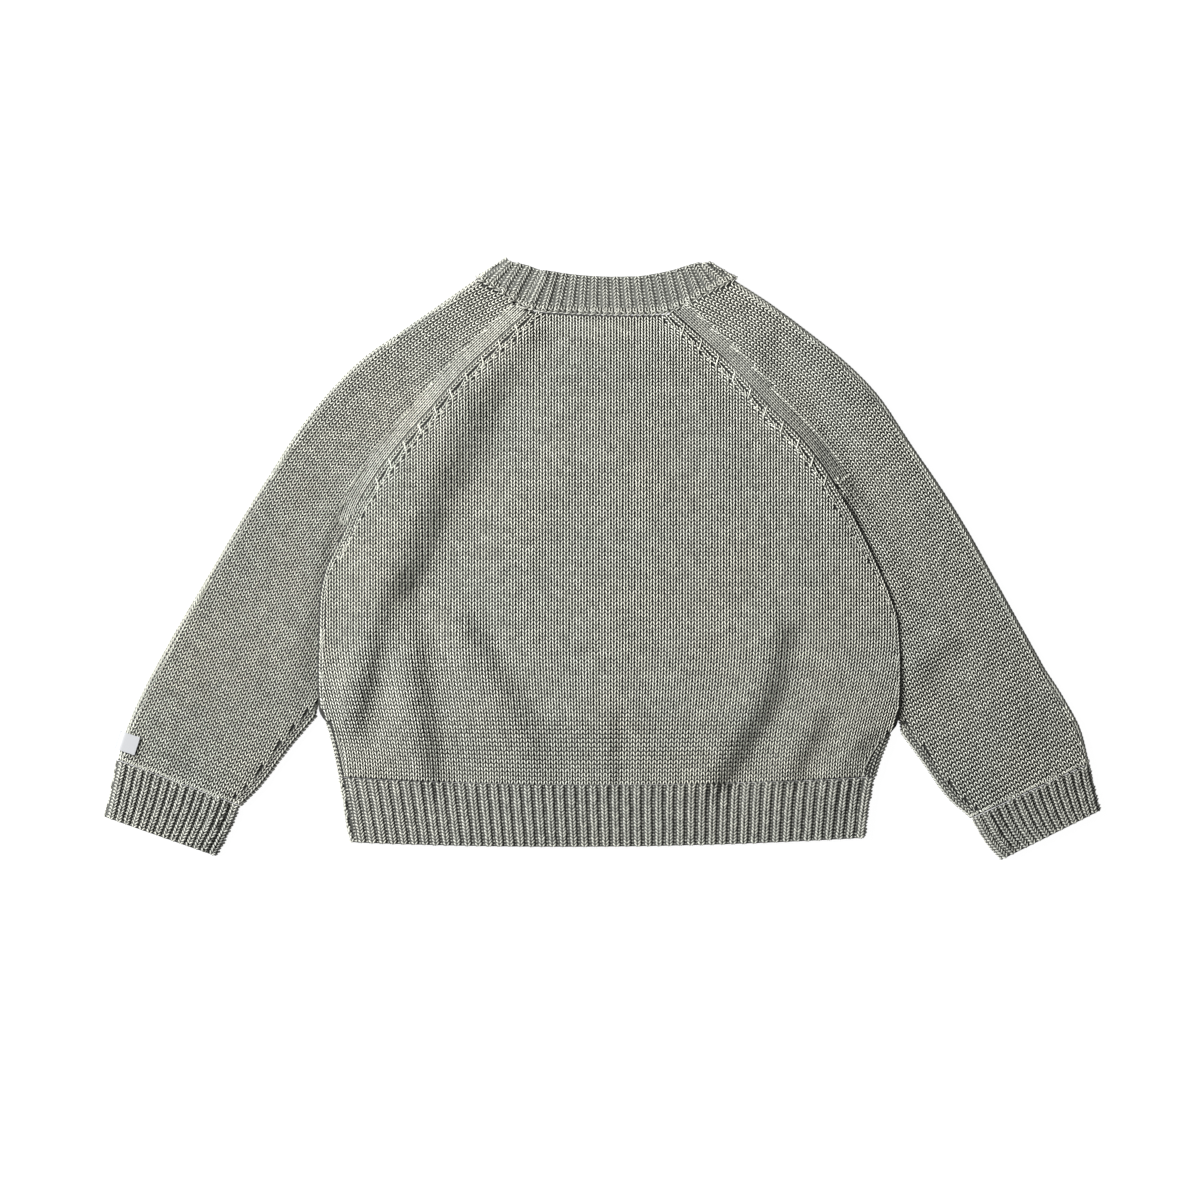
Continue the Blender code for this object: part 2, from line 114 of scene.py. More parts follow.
def finer(columns, count):
    """The table's rows on soft curves through all its columns, as one array of rows."""
    known = np.arange(len(next(iter(columns.values()))), dtype=float)
    at = np.linspace(0.0, known[-1], count)
    return np.stack([smooth(known, values, at) for values in columns.values()], axis=1)


def ease(low, high, at):
    """0 below low, 1 above high, with a soft step between."""
    t = np.clip((at - low) / (high - low), 0.0, 1.0)
    return t * t * (3 - 2 * t)


def unit(vector):
    vector = np.asarray(vector, float)
    return vector / np.linalg.norm(vector, axis=-1, keepdims=True)


def run_along(points):
    """How far along a path each of its points lies."""
    steps = np.linalg.norm(np.diff(points, axis=0), axis=1)
    return np.concatenate([[0.0], np.cumsum(steps)])


def at_run(points, run, at):
    """The values of a path's points at some distances along it."""
    return np.stack([np.interp(at, run, values) for values in points.T], axis=1)


# %% [markdown]
# ## The outline
# The raglan seams run from the neck to the armpits. From there down the front's cloth turns up
# round the sides, and the back stops at the side seams. Above the armpits the back folds out over
# the sleeves instead. Each table holds only the points that the outline needs.

# %% The body's outline
BODY = table(
    "y left right left_turned right_turned",
    (130.4, -39.6, 37.0, 0, 0),
    (115.0, -56.3, 54.3, 0, 0),
    (98.0, -74.2, 72.2, 0, 0),
    (80.0, -90.0, 88.6, 0, 0),
    (63.0, -105.2, 105.4, 0, 0),
    (44.0, -119.8, 119.6, 0, 0),
    (24.0, -131.2, 131.0, 0, 0),
    (3.0, -136.4, 139.6, 0, 0),
    (-26.0, -139.8, 145.2, 0, 0),
    (-56.0, -143.4, 149.6, 0, 0),
    (-72.0, -146.4, 151.4, 0, 0),
    (-81.5, -148.2, 152.8, 0, 0),
    (-87.0, -146.8, 154.2, 1, 0),
    (-93.5, -144.9, 153.0, 1, 1),
    (-106.0, -142.0, 148.4, 1, 1),
    (-116.5, -139.9, 145.2, 1, 1),
    (-128.0, -137.7, 143.0, 1, 1),
    (-141.0, -136.0, 141.2, 1, 1),
    (-150.0, -133.4, 140.1, 1, 1),
)
BACK_EDGES = table(
    "y left right",
    (24.0, -131.2, 131.0),
    (16.0, -134.6, 135.0),
    (3.0, -141.0, 141.4),
    (-8.0, -145.8, 146.4),
    (-20.0, -148.2, 151.4),
    (-36.0, -148.8, 156.0),
    (-60.0, -149.4, 157.0),
    (-80.4, -148.4, 156.2),
    (-84.6, -146.6, 155.6),
    (-88.2, -143.6, 155.0),
    (-92.4, -141.6, 152.4),
    (-97.0, -139.8, 146.6),
    (-116.5, -135.7, 137.5),
    (-150.0, -129.8, 133.6),
)
NECK_TOP = 130.4
RIB_TOP = -116.5
RIB_BOTTOM = -150.0
FRONT_TOP = 118.6
ARMPIT = -81.5

# Gently curved lines across the body: the lowest y, how fast it rises, and the x of that point.
NECK_LINE = (128.7, 0.0007, 15.0)
RIB_TOP_LINE = (-120.2, 0.0002, 0.0)
HEM_LINE = (-152.8, 0.00019, -20.0)


def line_at(line, x):
    lowest, rise, middle = line
    return lowest + rise * (x - middle) ** 2


def rib_line(x, down):
    return line_at(RIB_TOP_LINE, x) * (1 - down) + line_at(HEM_LINE, x) * down


def back_edges(y):
    """The x of the back's two edges at each height."""
    over = np.asarray(y) > RAGLAN_FOOT
    return [
        np.where(over, column_at(BODY, side, y), column_at(BACK_EDGES, side, y)) for side in HAND
    ]


def body_edges(y):
    """The x of the front's two edges at each height."""
    return [column_at(BODY, side, y) for side in HAND]


# %% [markdown]
# ## Folds
# A laid-out sweater is never quite flat. Its raglan seams stand up as soft ridges, the back hangs
# in folds above the gathered hem and leans towards the middle, and the front's neckband presses a
# faint step through it. Each fold is the line down the middle of a slope, from a crest on its left
# to a hollow on its right. All of them are added up, for the back and the sleeves alike.

# %% The folds
FOLDS = table(
    "x y end_x end_y half_width drop",
    # the long fall from the left raglan seam, which parts above the hem
    (-30.0, 126.0, -60.0, 86.0, 10.0, 3.2),
    (-60.0, 86.0, -88.0, 26.0, 16.0, 6.8),
    (-88.0, 26.0, -104.0, -20.0, 15.0, 6.8),
    (-112.0, -14.0, -131.0, -96.0, 8.0, 5.0),
    (-103.0, -16.0, -88.0, -118.0, 9.0, 5.0),
    (-78.0, -22.0, -28.0, -108.0, 9.0, 4.2),
    (5.0, -82.0, 6.0, -118.0, 5.0, 1.9),
    (98.0, -34.0, 90.0, -74.0, 9.0, 3.6),
    (90.0, -74.0, 58.0, -122.0, 9.0, 5.0),
    (118.0, -82.0, 98.0, -118.0, 7.0, 2.8),
    # the fall from the right raglan seam into the sleeve
    (80.0, 104.0, 114.0, 62.0, 10.0, 5.4),
    (114.0, 62.0, 140.0, 20.0, 10.0, 6.4),
    (140.0, 20.0, 162.0, -22.0, 10.0, 3.0),
    (162.0, -22.0, 166.0, -84.0, 11.0, 2.0),
    # the step over the front's neckband
    (-46.0, 95.0, 46.0, 97.0, 7.0, -2.0),
    # the sleeves
    (-98.0, 88.0, -114.0, 63.0, 5.0, 1.0),
    (-114.0, 63.0, -143.0, 14.0, 5.0, 1.8),
    (-143.0, 14.0, -153.0, -40.0, 6.0, 2.4),
    (-153.0, -40.0, -152.0, -88.0, 8.0, 2.6),
    (190.0, -42.0, 168.0, -62.0, 9.0, 3.0),
    (-214.0, -62.0, -228.0, -112.0, 11.0, 1.6),
    (218.0, -66.0, 232.0, -112.0, 11.0, 1.8),
    (-188.0, 8.0, -200.0, -20.0, 13.0, 1.3),
    # the cuffs, beside their inner folds
    (-198.0, -128.0, -208.0, -156.0, 4.5, 1.7),
    (206.0, -134.0, 218.0, -158.0, 5.0, 2.0),
)
FOLD_FADE = 0.18  # share of a fold's length, either side of each end, over which it dies out
EDGE_REACH = 16.0  # how far in from its edges the back is held to their height
UNEVEN = 0.25  # how far the cloth wavers apart from its folds
LOOSE_BACK = 2.0  # the open back lies this much higher than its side seams
RAGLAN_RISE = 1.8  # and the raglan seams this much, away from the neck
SEAM_END = (-100.0, -84.0)  # where the back's edges pass from the side seams to that height
NECK_HOLD = 0.8  # share of its looseness that the back loses beside the neck
NECK_HELD = (108.0, 130.0)
EDGE_HOLD = 0.5  # share of a fold that the back's edge over a sleeve loses
RESTING = 0.4  # how softly the back comes down on the front


def fold_height(x, y):
    """How far all the folds together move the cloth up or down at each point."""
    x, y = np.broadcast_arrays(np.asarray(x, float), y)
    # Waves whose lengths share no measure, so that the cloth is nowhere quite flat.
    height = UNEVEN * np.sin(x / 8.3 + 1.7 * np.sin(y / 19.0)) * np.cos(y / 11.7 + x / 31.0)
    for x0, y0, x1, y1, half_width, drop in zip(*FOLDS.values()):
        run_x, run_y = x1 - x0, y1 - y0
        length = math.hypot(run_x, run_y)
        t = ((x - x0) * run_x + (y - y0) * run_y) / length**2
        aside = ((x - x0) * run_y - (y - y0) * run_x) / length / half_width
        fade = ease(-FOLD_FADE, FOLD_FADE, t) * (1 - ease(1 - FOLD_FADE, 1 + FOLD_FADE, t))
        height += drop / 2 * fade * aside * np.exp((1 - aside**2) / 2)
    return height


def over_sleeve(y):
    """1 where the back's edges lie out over the sleeves."""
    return ease(-96.0, -80.0, y) * (1 - ease(10.0, 36.0, y))


def seam_level(y):
    """The height of the back's edges, before any fold."""
    raglan = RAGLAN_RISE * (1 - ease(96.0, 130.0, y)) * ease(*SEAM_END, y)
    return SIDE_LEVEL + raglan + (OVERHANG_LEVEL - SIDE_LEVEL - RAGLAN_RISE) * over_sleeve(y)


def back_level(x, y):
    """The middle of the back's cloth."""
    left, right = back_edges(y)
    near_edge = 1 - ease(0.0, EDGE_REACH, np.minimum(x - left, right - x))
    loose = LOOSE_BACK * (1 - NECK_HOLD * ease(*NECK_HELD, y))
    level = seam_level(y) * near_edge + (SIDE_LEVEL + loose) * (1 - near_edge)
    at_side_seam = near_edge * (1 - ease(*SEAM_END, y))
    held = EDGE_HOLD * near_edge * over_sleeve(y)
    level = level + fold_height(x, y) * (1 - at_side_seam) * (1 - held)
    return LOWEST_BACK + RESTING * np.logaddexp(0.0, (level - LOWEST_BACK) / RESTING)


# %% [markdown]
# ## Shells
# A grid of points describes each piece of cloth, with the way out of the cloth at every point. Two
# skins either side of the grid and a rim between them make a closed wall, which is what a maker
# would call the ground of the knit: what shows between the strands.

# %% Grids and walls
def stretch(start, end, steps, way=UP):
    """A straight run of grid points from start to end, each with its way out."""
    t = np.linspace(0.0, 1.0, steps + 1)[:, None]
    points = np.asarray(start, float) * (1 - t) + np.asarray(end, float) * t
    return np.hstack([points, np.broadcast_to(way, points.shape)])


def turn(centre, outward, low, high, steps):
    """A run of grid points round a fold, from its top at high to its bottom at low."""
    angle = np.linspace(0.0, math.pi, steps + 1)[:, None]
    ways = np.hstack([np.sin(angle) * outward, np.cos(angle)])
    middle = np.array([*centre, (high + low) / 2])
    return np.hstack([middle + ways * (high - low) / 2, ways])


def spaced(grid, count):
    """The same grid with its columns at even distances."""
    steps = np.linalg.norm(np.diff(grid[..., :3], axis=1), axis=2).mean(axis=0)
    run = np.concatenate([[0.0], np.cumsum(steps)])
    column = np.interp(np.linspace(0.0, run[-1], count), run, np.arange(len(run)))
    low = np.minimum(column.astype(int), len(run) - 2)
    share = (column - low)[:, None]
    return grid[:, low] * (1 - share) + grid[:, low + 1] * share


def facing(grid):
    """The true way out at every grid point, from its neighbours."""
    points, ways = grid[..., :3], unit(grid[..., 3:])
    normal = np.cross(np.gradient(points, axis=0), np.gradient(points, axis=1))
    length = np.linalg.norm(normal, axis=2, keepdims=True)
    normal = np.where(length > 1e-6, normal / np.maximum(length, 1e-6), ways)
    return normal * np.where((normal * ways).sum(axis=2, keepdims=True) < 0, -1.0, 1.0)


def link(name, mesh):
    made = bpy.data.objects.new(name, mesh)
    bpy.context.scene.collection.objects.link(made)
    return made


def wall(name, grid, outer, inner, finish, inside=None):
    """A closed thin wall: skins at outer and inner from the grid along its ways out, and a rim."""
    normal = facing(grid)
    skins = [(grid[..., :3] + normal * offset).reshape(-1, 3) * MM for offset in (outer, inner)]
    rows, columns = grid.shape[:2]
    index = np.arange(rows * columns).reshape(rows, columns)
    under = index + rows * columns
    quads = np.stack([index[:-1, :-1], index[1:, :-1], index[1:, 1:], index[:-1, 1:]], axis=-1)
    faces = [quads.reshape(-1, 4), (quads + rows * columns).reshape(-1, 4)[:, ::-1]]
    for edge in (0, -1):
        down, across = index[:, edge], index[edge, :]
        low_down, low_across = under[:, edge], under[edge, :]
        faces.append(np.stack([down[:-1], low_down[:-1], low_down[1:], down[1:]], axis=1))
        faces.append(np.stack([across[:-1], across[1:], low_across[1:], low_across[:-1]], axis=1))
    mesh = bpy.data.meshes.new(name)
    mesh.from_pydata(np.vstack(skins).tolist(), [], np.vstack(faces).tolist())
    work = bmesh.new()
    work.from_mesh(mesh)
    bmesh.ops.recalc_face_normals(work, faces=work.faces)
    work.to_mesh(mesh)
    work.free()
    mesh.shade_smooth()
    mesh.set_sharp_from_angle(angle=math.radians(60))
    mesh.materials.append(finish)
    mesh.materials.append(inside or finish)
    under_skin = np.ones(len(mesh.polygons), dtype=np.int32)
    under_skin[: len(faces[0])] = 0
    mesh.polygons.foreach_set("material_index", under_skin)
    print(f"{name}: wall of {len(mesh.polygons)} faces")
    return link(name, mesh)


# %% [markdown]
# ## Materials
# The yarn is cabled cotton, dyed a grey oatmeal. Cotton is matt with a soft sheen at grazing
# angles. Its plies show as fine slanting lines, with painted shade in the grooves between them, and
# no two stitches are quite the same tone. The flanks of each strand are painted darker than its
# crest. The ground between the strands is the same yarn in painted deep shade, and a darker copy
# of the yarn is painted shade as well.

# %% Helpers for nodes, and colours
def linear(code):
    """An sRGB hex colour as linear red, green, blue and alpha."""
    parts = [int(code[i : i + 2], 16) / 255 for i in (1, 3, 5)]
    return [c / 12.92 if c <= 0.04045 else ((c + 0.055) / 1.055) ** 2.4 for c in parts] + [1.0]


def add(tree, kind, inputs=None, **settings):
    """One node with its settings, its input values and its links."""
    node = tree.nodes.new(kind)
    for name, value in settings.items():
        setattr(node, name, value)
    for key, value in (inputs or {}).items():
        if isinstance(value, bpy.types.NodeSocket):
            tree.links.new(value, node.inputs[key])
        else:
            node.inputs[key].default_value = value
    return node


def mix(tree, share, first, second, blend="MIX"):
    """The colour that lies this share of the way from the first to the second."""
    inputs = {0: share, 6: first, 7: second}
    return add(tree, "ShaderNodeMix", inputs, data_type="RGBA", blend_type=blend).outputs[2]


def times(tree, first, second):
    """Two colours multiplied."""
    return mix(tree, 1.0, first, second, blend="MULTIPLY")


def bump(tree, height, strength, distance, invert=False):
    """Relief that is too fine for the mesh."""
    inputs = {"Height": height, "Strength": strength, "Distance": distance}
    return add(tree, "ShaderNodeBump", inputs, invert=invert).outputs[0]


def blank_material(name):
    made = bpy.data.materials.new(name)
    made.use_nodes = True
    made.node_tree.nodes.clear()
    return made, made.node_tree


def principled(tree, inputs):
    """The shader that the material shows."""
    shader = add(tree, "ShaderNodeBsdfPrincipled", inputs)
    add(tree, "ShaderNodeOutputMaterial", {"Surface": shader.outputs[0]})


# %% Cotton yarn
# Painted shade: a strand's steep flanks are painted darker than its crest, down to this share.
FLANK_PAINTED_SHADE = 0.35  # how light the steep flank of a strand is beside its crest


def cotton_yarn(name, light, dark):
    """Strands of cabled cotton. light and dark are the tones of single stitches."""
    made, tree = blank_material(name)
    place = add(tree, "ShaderNodeTexCoord").outputs["Object"]
    tone = add(tree, "ShaderNodeAttribute", attribute_name="tone").outputs["Fac"]
    strand = add(tree, "ShaderNodeAttribute", attribute_name="strand").outputs["Vector"]
    patches = add(tree, "ShaderNodeTexNoise", {"Vector": place, "Scale": 22.0, "Detail": 3.0})
    warmth = mix(tree, patches.outputs["Fac"], linear("#EFF4F1"), linear("#FFFAF1"))
    tinted = times(tree, mix(tree, tone, linear(dark), linear(light)), warmth)
    turned = add(tree, "ShaderNodeMapping", {"Vector": strand, "Scale": (1.0, 1.6, 3.2)})
    twist = {"Vector": turned.outputs[0], "Scale": 0.55, "Distortion": 0.8, "Detail": 1.0}
    plies = add(tree, "ShaderNodeTexWave", twist, bands_direction="DIAGONAL").outputs["Fac"]
    # Painted shade: the colour darkens in the grooves between the plies, where the bump dips.
    colour = times(tree, tinted, mix(tree, plies, linear("#D8D8D6"), linear("#FFFFFF")))
    # Painted shade: the colour is darkened on the steep flanks of a stitch, where less light
    # reaches than its crest.
    out = add(tree, "ShaderNodeNewGeometry").outputs["Normal"]
    upright = add(tree, "ShaderNodeSeparateXYZ", {"Vector": out}).outputs["Z"]
    flat = add(tree, "ShaderNodeMath", {0: upright}, operation="ABSOLUTE").outputs[0]
    painted_flank_shade = add(tree, "ShaderNodeMapRange", {"Value": flat, "To Min": FLANK_PAINTED_SHADE}).outputs[0]
    fibres = add(tree, "ShaderNodeTexNoise", {"Vector": place, "Scale": 5200.0, "Detail": 2.0})
    relief = {0: fibres.outputs["Fac"], 1: 0.5, 2: plies}
    height = add(tree, "ShaderNodeMath", relief, operation="MULTIPLY_ADD").outputs[0]
    look = {"Roughness": 0.88, "IOR": 1.47, "Sheen Weight": 0.15, "Sheen Roughness": 0.5}
    normal = bump(tree, height, 0.35, 0.0002)
    principled(tree, {"Base Color": times(tree, colour, painted_flank_shade), "Normal": normal, **look})
    return made


YARN = cotton_yarn("cabled_cotton_yarn", "#DEDFD9", "#C5C6C0")
# A darker copy of the same yarn, which is painted shade: for the ribs, the side wales, the front's
# margins, the sleeves' folds, the right sleeve's border and the neck's chain.
PAINTED_SHADE_YARN = cotton_yarn("cabled_cotton_yarn_painted_shade", "#B8B9B3", "#A0A19D")


# %% The ground between the strands
def knit_ground(name, light, dark, grain_mm):
    """Yarn in small loops of two tones, grain_mm apart: painted shade darkens each loop towards its
    edge. Where it lies between the stitches, its dark tones are painted shade as well.
    """
    made, tree = blank_material(name)
    place = add(tree, "ShaderNodeTexCoord").outputs["Object"]
    cells = {"Vector": place, "Scale": 1 / (grain_mm * MM)}
    loops = add(tree, "ShaderNodeTexVoronoi", cells, feature="F1").outputs["Distance"]
    # Painted shade: each loop's colour darkens towards its edge, where it dips.
    colour = mix(tree, loops, linear(light), linear(dark))
    normal = bump(tree, loops, 0.6, 0.0004, invert=True)
    principled(tree, {"Base Color": colour, "Normal": normal, "Roughness": 0.95})
    return made


REVERSE = knit_ground("cotton_knit_reverse", "#A9A9A2", "#7E7E78", 1.8)
# The grounds under the strands are painted near-black: deep painted shade between the stitches.
PAINTED_SHADE_GROUND = knit_ground("cotton_knit_ground_painted_shade", "#1E1F1C", "#121310", 1.6)
RIB_PAINTED_SHADE_GROUND = knit_ground("cotton_rib_ground_painted_shade", "#3A3B38", "#262724", 1.4)

# %% [markdown]
# ## Strands laid on cloth
# A knit stitch shows as two short strands that lean together like a V. Modelling tens of thousands
# of them by hand is hopeless, and a displaced surface would need millions of faces. Geometry Nodes
# do it well: Python works out where each stitch sits and which way its wale runs, and the tree
# drops it onto the shell with a ray, turns it to the cloth and sets the V there. Each strand has
# only a dozen triangles.

# %% The tree
SIDES = 3  # a strand is three-sided, with one edge up
BLUNT = 0.5  # how far its two rings move out towards its tips, which makes it a plump bar
TREE_INPUTS = {
    "Geometry": ("Stitches",),
    "Object": ("Cloth",),
    "Material": ("Yarn",),
    "Float": (
        "Strand Width", "Strand Height", "Strand Length",
        "Spread", "Lean", "Bend", "Reach", "Unevenness",
    ),
    "Bool": ("Pair",),
    "Int": ("Rings", "Seed"),
}


def strand_tree():
    tree = bpy.data.node_groups.new("strands_on_cloth", "GeometryNodeTree")
    for kind, names in TREE_INPUTS.items():
        for name in names:
            tree.interface.new_socket(name, in_out="INPUT", socket_type="NodeSocket" + kind)
    tree.interface.new_socket("Knit", in_out="OUTPUT", socket_type="NodeSocketGeometry")
    given = add(tree, "NodeGroupInput").outputs

    def node(kind, inputs=None, **settings):
        return add(tree, kind, inputs, **settings).outputs[0]

    def maths(operation, *values):
        return node("ShaderNodeMath", dict(enumerate(values)), operation=operation)

    def vector(**parts):
        return node("ShaderNodeCombineXYZ", parts)

    def attribute(name, kind="FLOAT_VECTOR"):
        named = add(tree, "GeometryNodeInputNamedAttribute", {"Name": name}, data_type=kind)
        return named.outputs["Attribute"]

    def store(geometry, name, value, kind="FLOAT_VECTOR", domain="POINT"):
        inputs = {"Geometry": geometry, "Name": name, "Value": value}
        return node("GeometryNodeStoreNamedAttribute", inputs, data_type=kind, domain=domain)

    def moved(geometry, **inputs):
        return node("GeometryNodeSetPosition", {"Geometry": geometry, **inputs})

    def transformed(geometry, **inputs):
        return node("GeometryNodeTransform", {"Geometry": geometry, **inputs})

    # One strand: a ball with three sides, stretched along the wale. Its x becomes up, its y across.
    sphere = {"Segments": SIDES, "Rings": given["Rings"], "Radius": 1.0}
    ball = node("GeometryNodeMeshUVSphere", sphere)
    named = store(ball, "strand", node("GeometryNodeInputPosition"))
    size = vector(
        X=maths("DIVIDE", given["Strand Height"], 1 + math.cos(math.pi / SIDES)),
        Y=maths("DIVIDE", given["Strand Width"], 2 * math.sin(math.pi / SIDES)),
        Z=maths("DIVIDE", given["Strand Length"], 2.0),
    )
    lying = Matrix(((0, 1, 0), (0, 0, 1), (1, 0, 0))).to_euler()
    stood = transformed(named, Scale=size, Rotation=lying)
    along = add(tree, "ShaderNodeSeparateXYZ", {0: attribute("strand")}).outputs["Z"]
    from_middle = maths("ABSOLUTE", along)
    outer = maths("MULTIPLY", along, maths("SUBTRACT", 1.0, from_middle))
    plump = maths("MULTIPLY", outer, maths("MULTIPLY", given["Strand Length"], BLUNT))
    bar = moved(stood, Offset=vector(Y=plump))
    # Two of them, bent together at the bottom and apart at the top.
    bow = maths("MULTIPLY", maths("MULTIPLY", along, from_middle), given["Bend"])
    halves = []
    for side in (-1.0, 1.0):
        bent = moved(bar, Offset=vector(X=maths("MULTIPLY", bow, side)))
        shift = vector(X=maths("MULTIPLY", given["Spread"], side))
        lean = vector(Z=maths("MULTIPLY", given["Lean"], -side))
        halves.append(transformed(bent, Translation=shift, Rotation=lean))
    pair = add(tree, "GeometryNodeJoinGeometry", {"Geometry": halves[0]})
    tree.links.new(halves[1], pair.inputs["Geometry"])
    choice = {"Switch": given["Pair"], "False": bar, "True": pair.outputs[0]}
    stitch = node("GeometryNodeSwitch", choice, input_type="GEOMETRY")
    # The stitches drop onto the cloth along their own aims.
    cloth = add(tree, "GeometryNodeObjectInfo", {"Object": given["Cloth"]}).outputs["Geometry"]
    aimed = {"Target Geometry": cloth, "Ray Direction": attribute("aim")}
    ray = add(tree, "GeometryNodeRaycast", {**aimed, "Ray Length": given["Reach"]}).outputs
    missed = node("FunctionNodeBooleanMath", {0: ray["Is Hit"]}, operation="NOT")
    # Asked again after the move, the ray would start from the cloth, so its answers are kept.
    kept = store(given["Stitches"], "missed", missed, "BOOLEAN")
    kept = store(kept, "spot", ray["Hit Position"])
    kept = store(kept, "facing", ray["Hit Normal"])
    gone = {"Geometry": kept, "Selection": attribute("missed", "BOOLEAN")}
    hits = node("GeometryNodeDeleteGeometry", gone, domain="POINT")
    laid = moved(hits, Position=attribute("spot"))
    pose = node(
        "FunctionNodeAxesToRotation",
        {"Primary Axis": attribute("facing"), "Secondary Axis": attribute("wale")},
        primary_axis="Z",
        secondary_axis="Y",
    )
    limits = {
        "Min": maths("SUBTRACT", 1.0, given["Unevenness"]),
        "Max": maths("ADD", 1.0, given["Unevenness"]),
    }
    uneven = node(
        "FunctionNodeRandomValue", {**limits, "Seed": given["Seed"]}, data_type="FLOAT_VECTOR"
    )
    scale = node("ShaderNodeVectorMath", {0: attribute("size"), 1: uneven}, operation="MULTIPLY")
    each = {"Points": laid, "Instance": stitch, "Rotation": pose, "Scale": scale}
    copies = node("GeometryNodeInstanceOnPoints", each)
    seed = {"Seed": maths("ADD", given["Seed"], 7.0)}
    tone = add(tree, "FunctionNodeRandomValue", seed, data_type="FLOAT").outputs[1]
    toned = store(copies, "tone", tone, "FLOAT", "INSTANCE")
    real = node("GeometryNodeRealizeInstances", {"Geometry": toned})
    soft = node("GeometryNodeSetShadeSmooth", {"Geometry": real})
    yarned = node("GeometryNodeSetMaterial", {"Geometry": soft, "Material": given["Yarn"]})
    add(tree, "NodeGroupOutput", {"Knit": yarned})
    return tree


STRANDS = strand_tree()
SOCKETS = {
    item.name: item.identifier
    for item in STRANDS.interface.items_tree
    if item.item_type == "SOCKET" and item.in_out == "INPUT"
}
print("inputs of the tree:", ", ".join(SOCKETS))

# %% Laying them
LIFT = 6.0  # a stitch starts this far off the cloth, before the ray drops it
UNEVENNESS = 0.1  # share by which the sizes of stitches differ
# The heights that LIFT counts from: on the back, on a sleeve's top and on the undersides.
BACK_START, SLEEVE_START, UNDER_START = 8.0, 5.0, 1.0


def spots(places, ways, wales, size=(1.0, 1.0, 1.0)):
    """Rows for lay(): where each stitch starts, its aim, the way its wale runs and its size."""
    places = np.asarray(places, float).reshape(-1, 3)
    ways, wales, size = (np.broadcast_to(v, places.shape) for v in (ways, wales, size))
    return np.hstack([places + ways * LIFT, -ways, wales, size])


def lay(
    name, stitches, cloth, width, height, length,
    spread=0.0, lean=0.0, bend=0.0, rings=3, seed=1, yarn=None
):
    """Strands on a shell as one plain mesh. A spread makes each of them a leaning pair."""
    mesh = bpy.data.meshes.new(name)
    mesh.from_pydata((stitches[:, :3] * MM).tolist(), [], [])
    for k, attribute in enumerate(("aim", "wale", "size"), start=1):
        values = stitches[:, 3 * k : 3 * k + 3].astype(np.float32).ravel()
        mesh.attributes.new(attribute, "FLOAT_VECTOR", "POINT").data.foreach_set("vector", values)
    made = link(name, mesh)
    modifier = made.modifiers.new("strands", "NODES")
    modifier.node_group = STRANDS
    for key, value in (
        ("Cloth", cloth),
        ("Yarn", yarn or YARN),
        ("Strand Width", width * MM),
        ("Strand Height", height * MM),
        ("Strand Length", length * MM),
        ("Spread", spread * MM),
        ("Lean", math.radians(lean)),
        ("Bend", bend * MM),
        ("Pair", spread > 0),
        ("Rings", rings),
        ("Reach", 2 * LIFT * MM),
        ("Unevenness", UNEVENNESS),
        ("Seed", seed),
    ):
        modifier[SOCKETS[key]] = value
    graph = bpy.context.evaluated_depsgraph_get()
    plain = bpy.data.meshes.new_from_object(made.evaluated_get(graph))
    made.modifiers.clear()
    made.data = plain
    plain.name = name
    triangles = sum(len(face.vertices) - 2 for face in plain.polygons)
    print(f"{name}: {triangles} triangles")
    return made


# %% Where stitches can sit
def spread_line(points, step):
    """Places at even steps along a line in plan, and the line's direction at each."""
    run = run_along(points)
    places = at_run(points, run, np.arange(step / 2, run[-1], step))
    return places, unit(np.gradient(places, axis=0))


def inwards(ways, towards):
    """The normals in plan of a line's directions, on its right (1) or on its left (-1)."""
    return np.stack([ways[:, 1], -ways[:, 0]], axis=1) * towards


def distance_from(line, towards, places):
    """How far places in plan lie from a line, on its right (1) or on its left (-1)."""
    fine, ways = spread_line(line, 1.0)
    gaps = places[:, None, :] - fine[None, :, :]
    nearest = (gaps**2).sum(axis=2).argmin(axis=1)
    gap = gaps[np.arange(len(places)), nearest]
    return (gap * inwards(ways, towards)[nearest]).sum(axis=1)


def raised(values, z=0.0):
    """Points or directions in plan, given a height."""
    return np.column_stack([values, np.full(len(values), z)])

# %% [markdown]
# ## The back
# The back is the piece that the eye rests on. Its wales run straight down from the neckband, a
# little closer together at the sides, and draw in above the ribbed hem. Along both raglan seams
# two wales run with the seam instead: a machine knitter narrows by moving that whole border
# inwards, which leaves a row of long slanting stitches, the fashion marks.

# %% The back's cloth
SHELL_OUT = 0.25  # the shell's outer skin, from the middle of the cloth
SHELL_IN = -0.55
GRID_STEP = 3.4
ROLL_STEPS = 6
EDGE_ROLL = 1.2  # radius of the back's edge where it hangs over a sleeve


def hem_shift(x, y):
    """How far a point above the hem moves to follow the rib's upper line."""
    return (line_at(RIB_TOP_LINE, x) + SEAM - RIB_TOP) * (1 - ease(RIB_TOP, HEM_EASE, y))


def neck_shift(x, y):
    return (line_at(NECK_LINE, x) - SEAM - NECK_TOP) * ease(NECK_EASE, NECK_TOP, y)


def heights_between(low, high, corners):
    even = np.arange(low, high, GRID_STEP)
    return np.unique(np.concatenate([even, [high], [c for c in corners if low < c < high]]))[::-1]


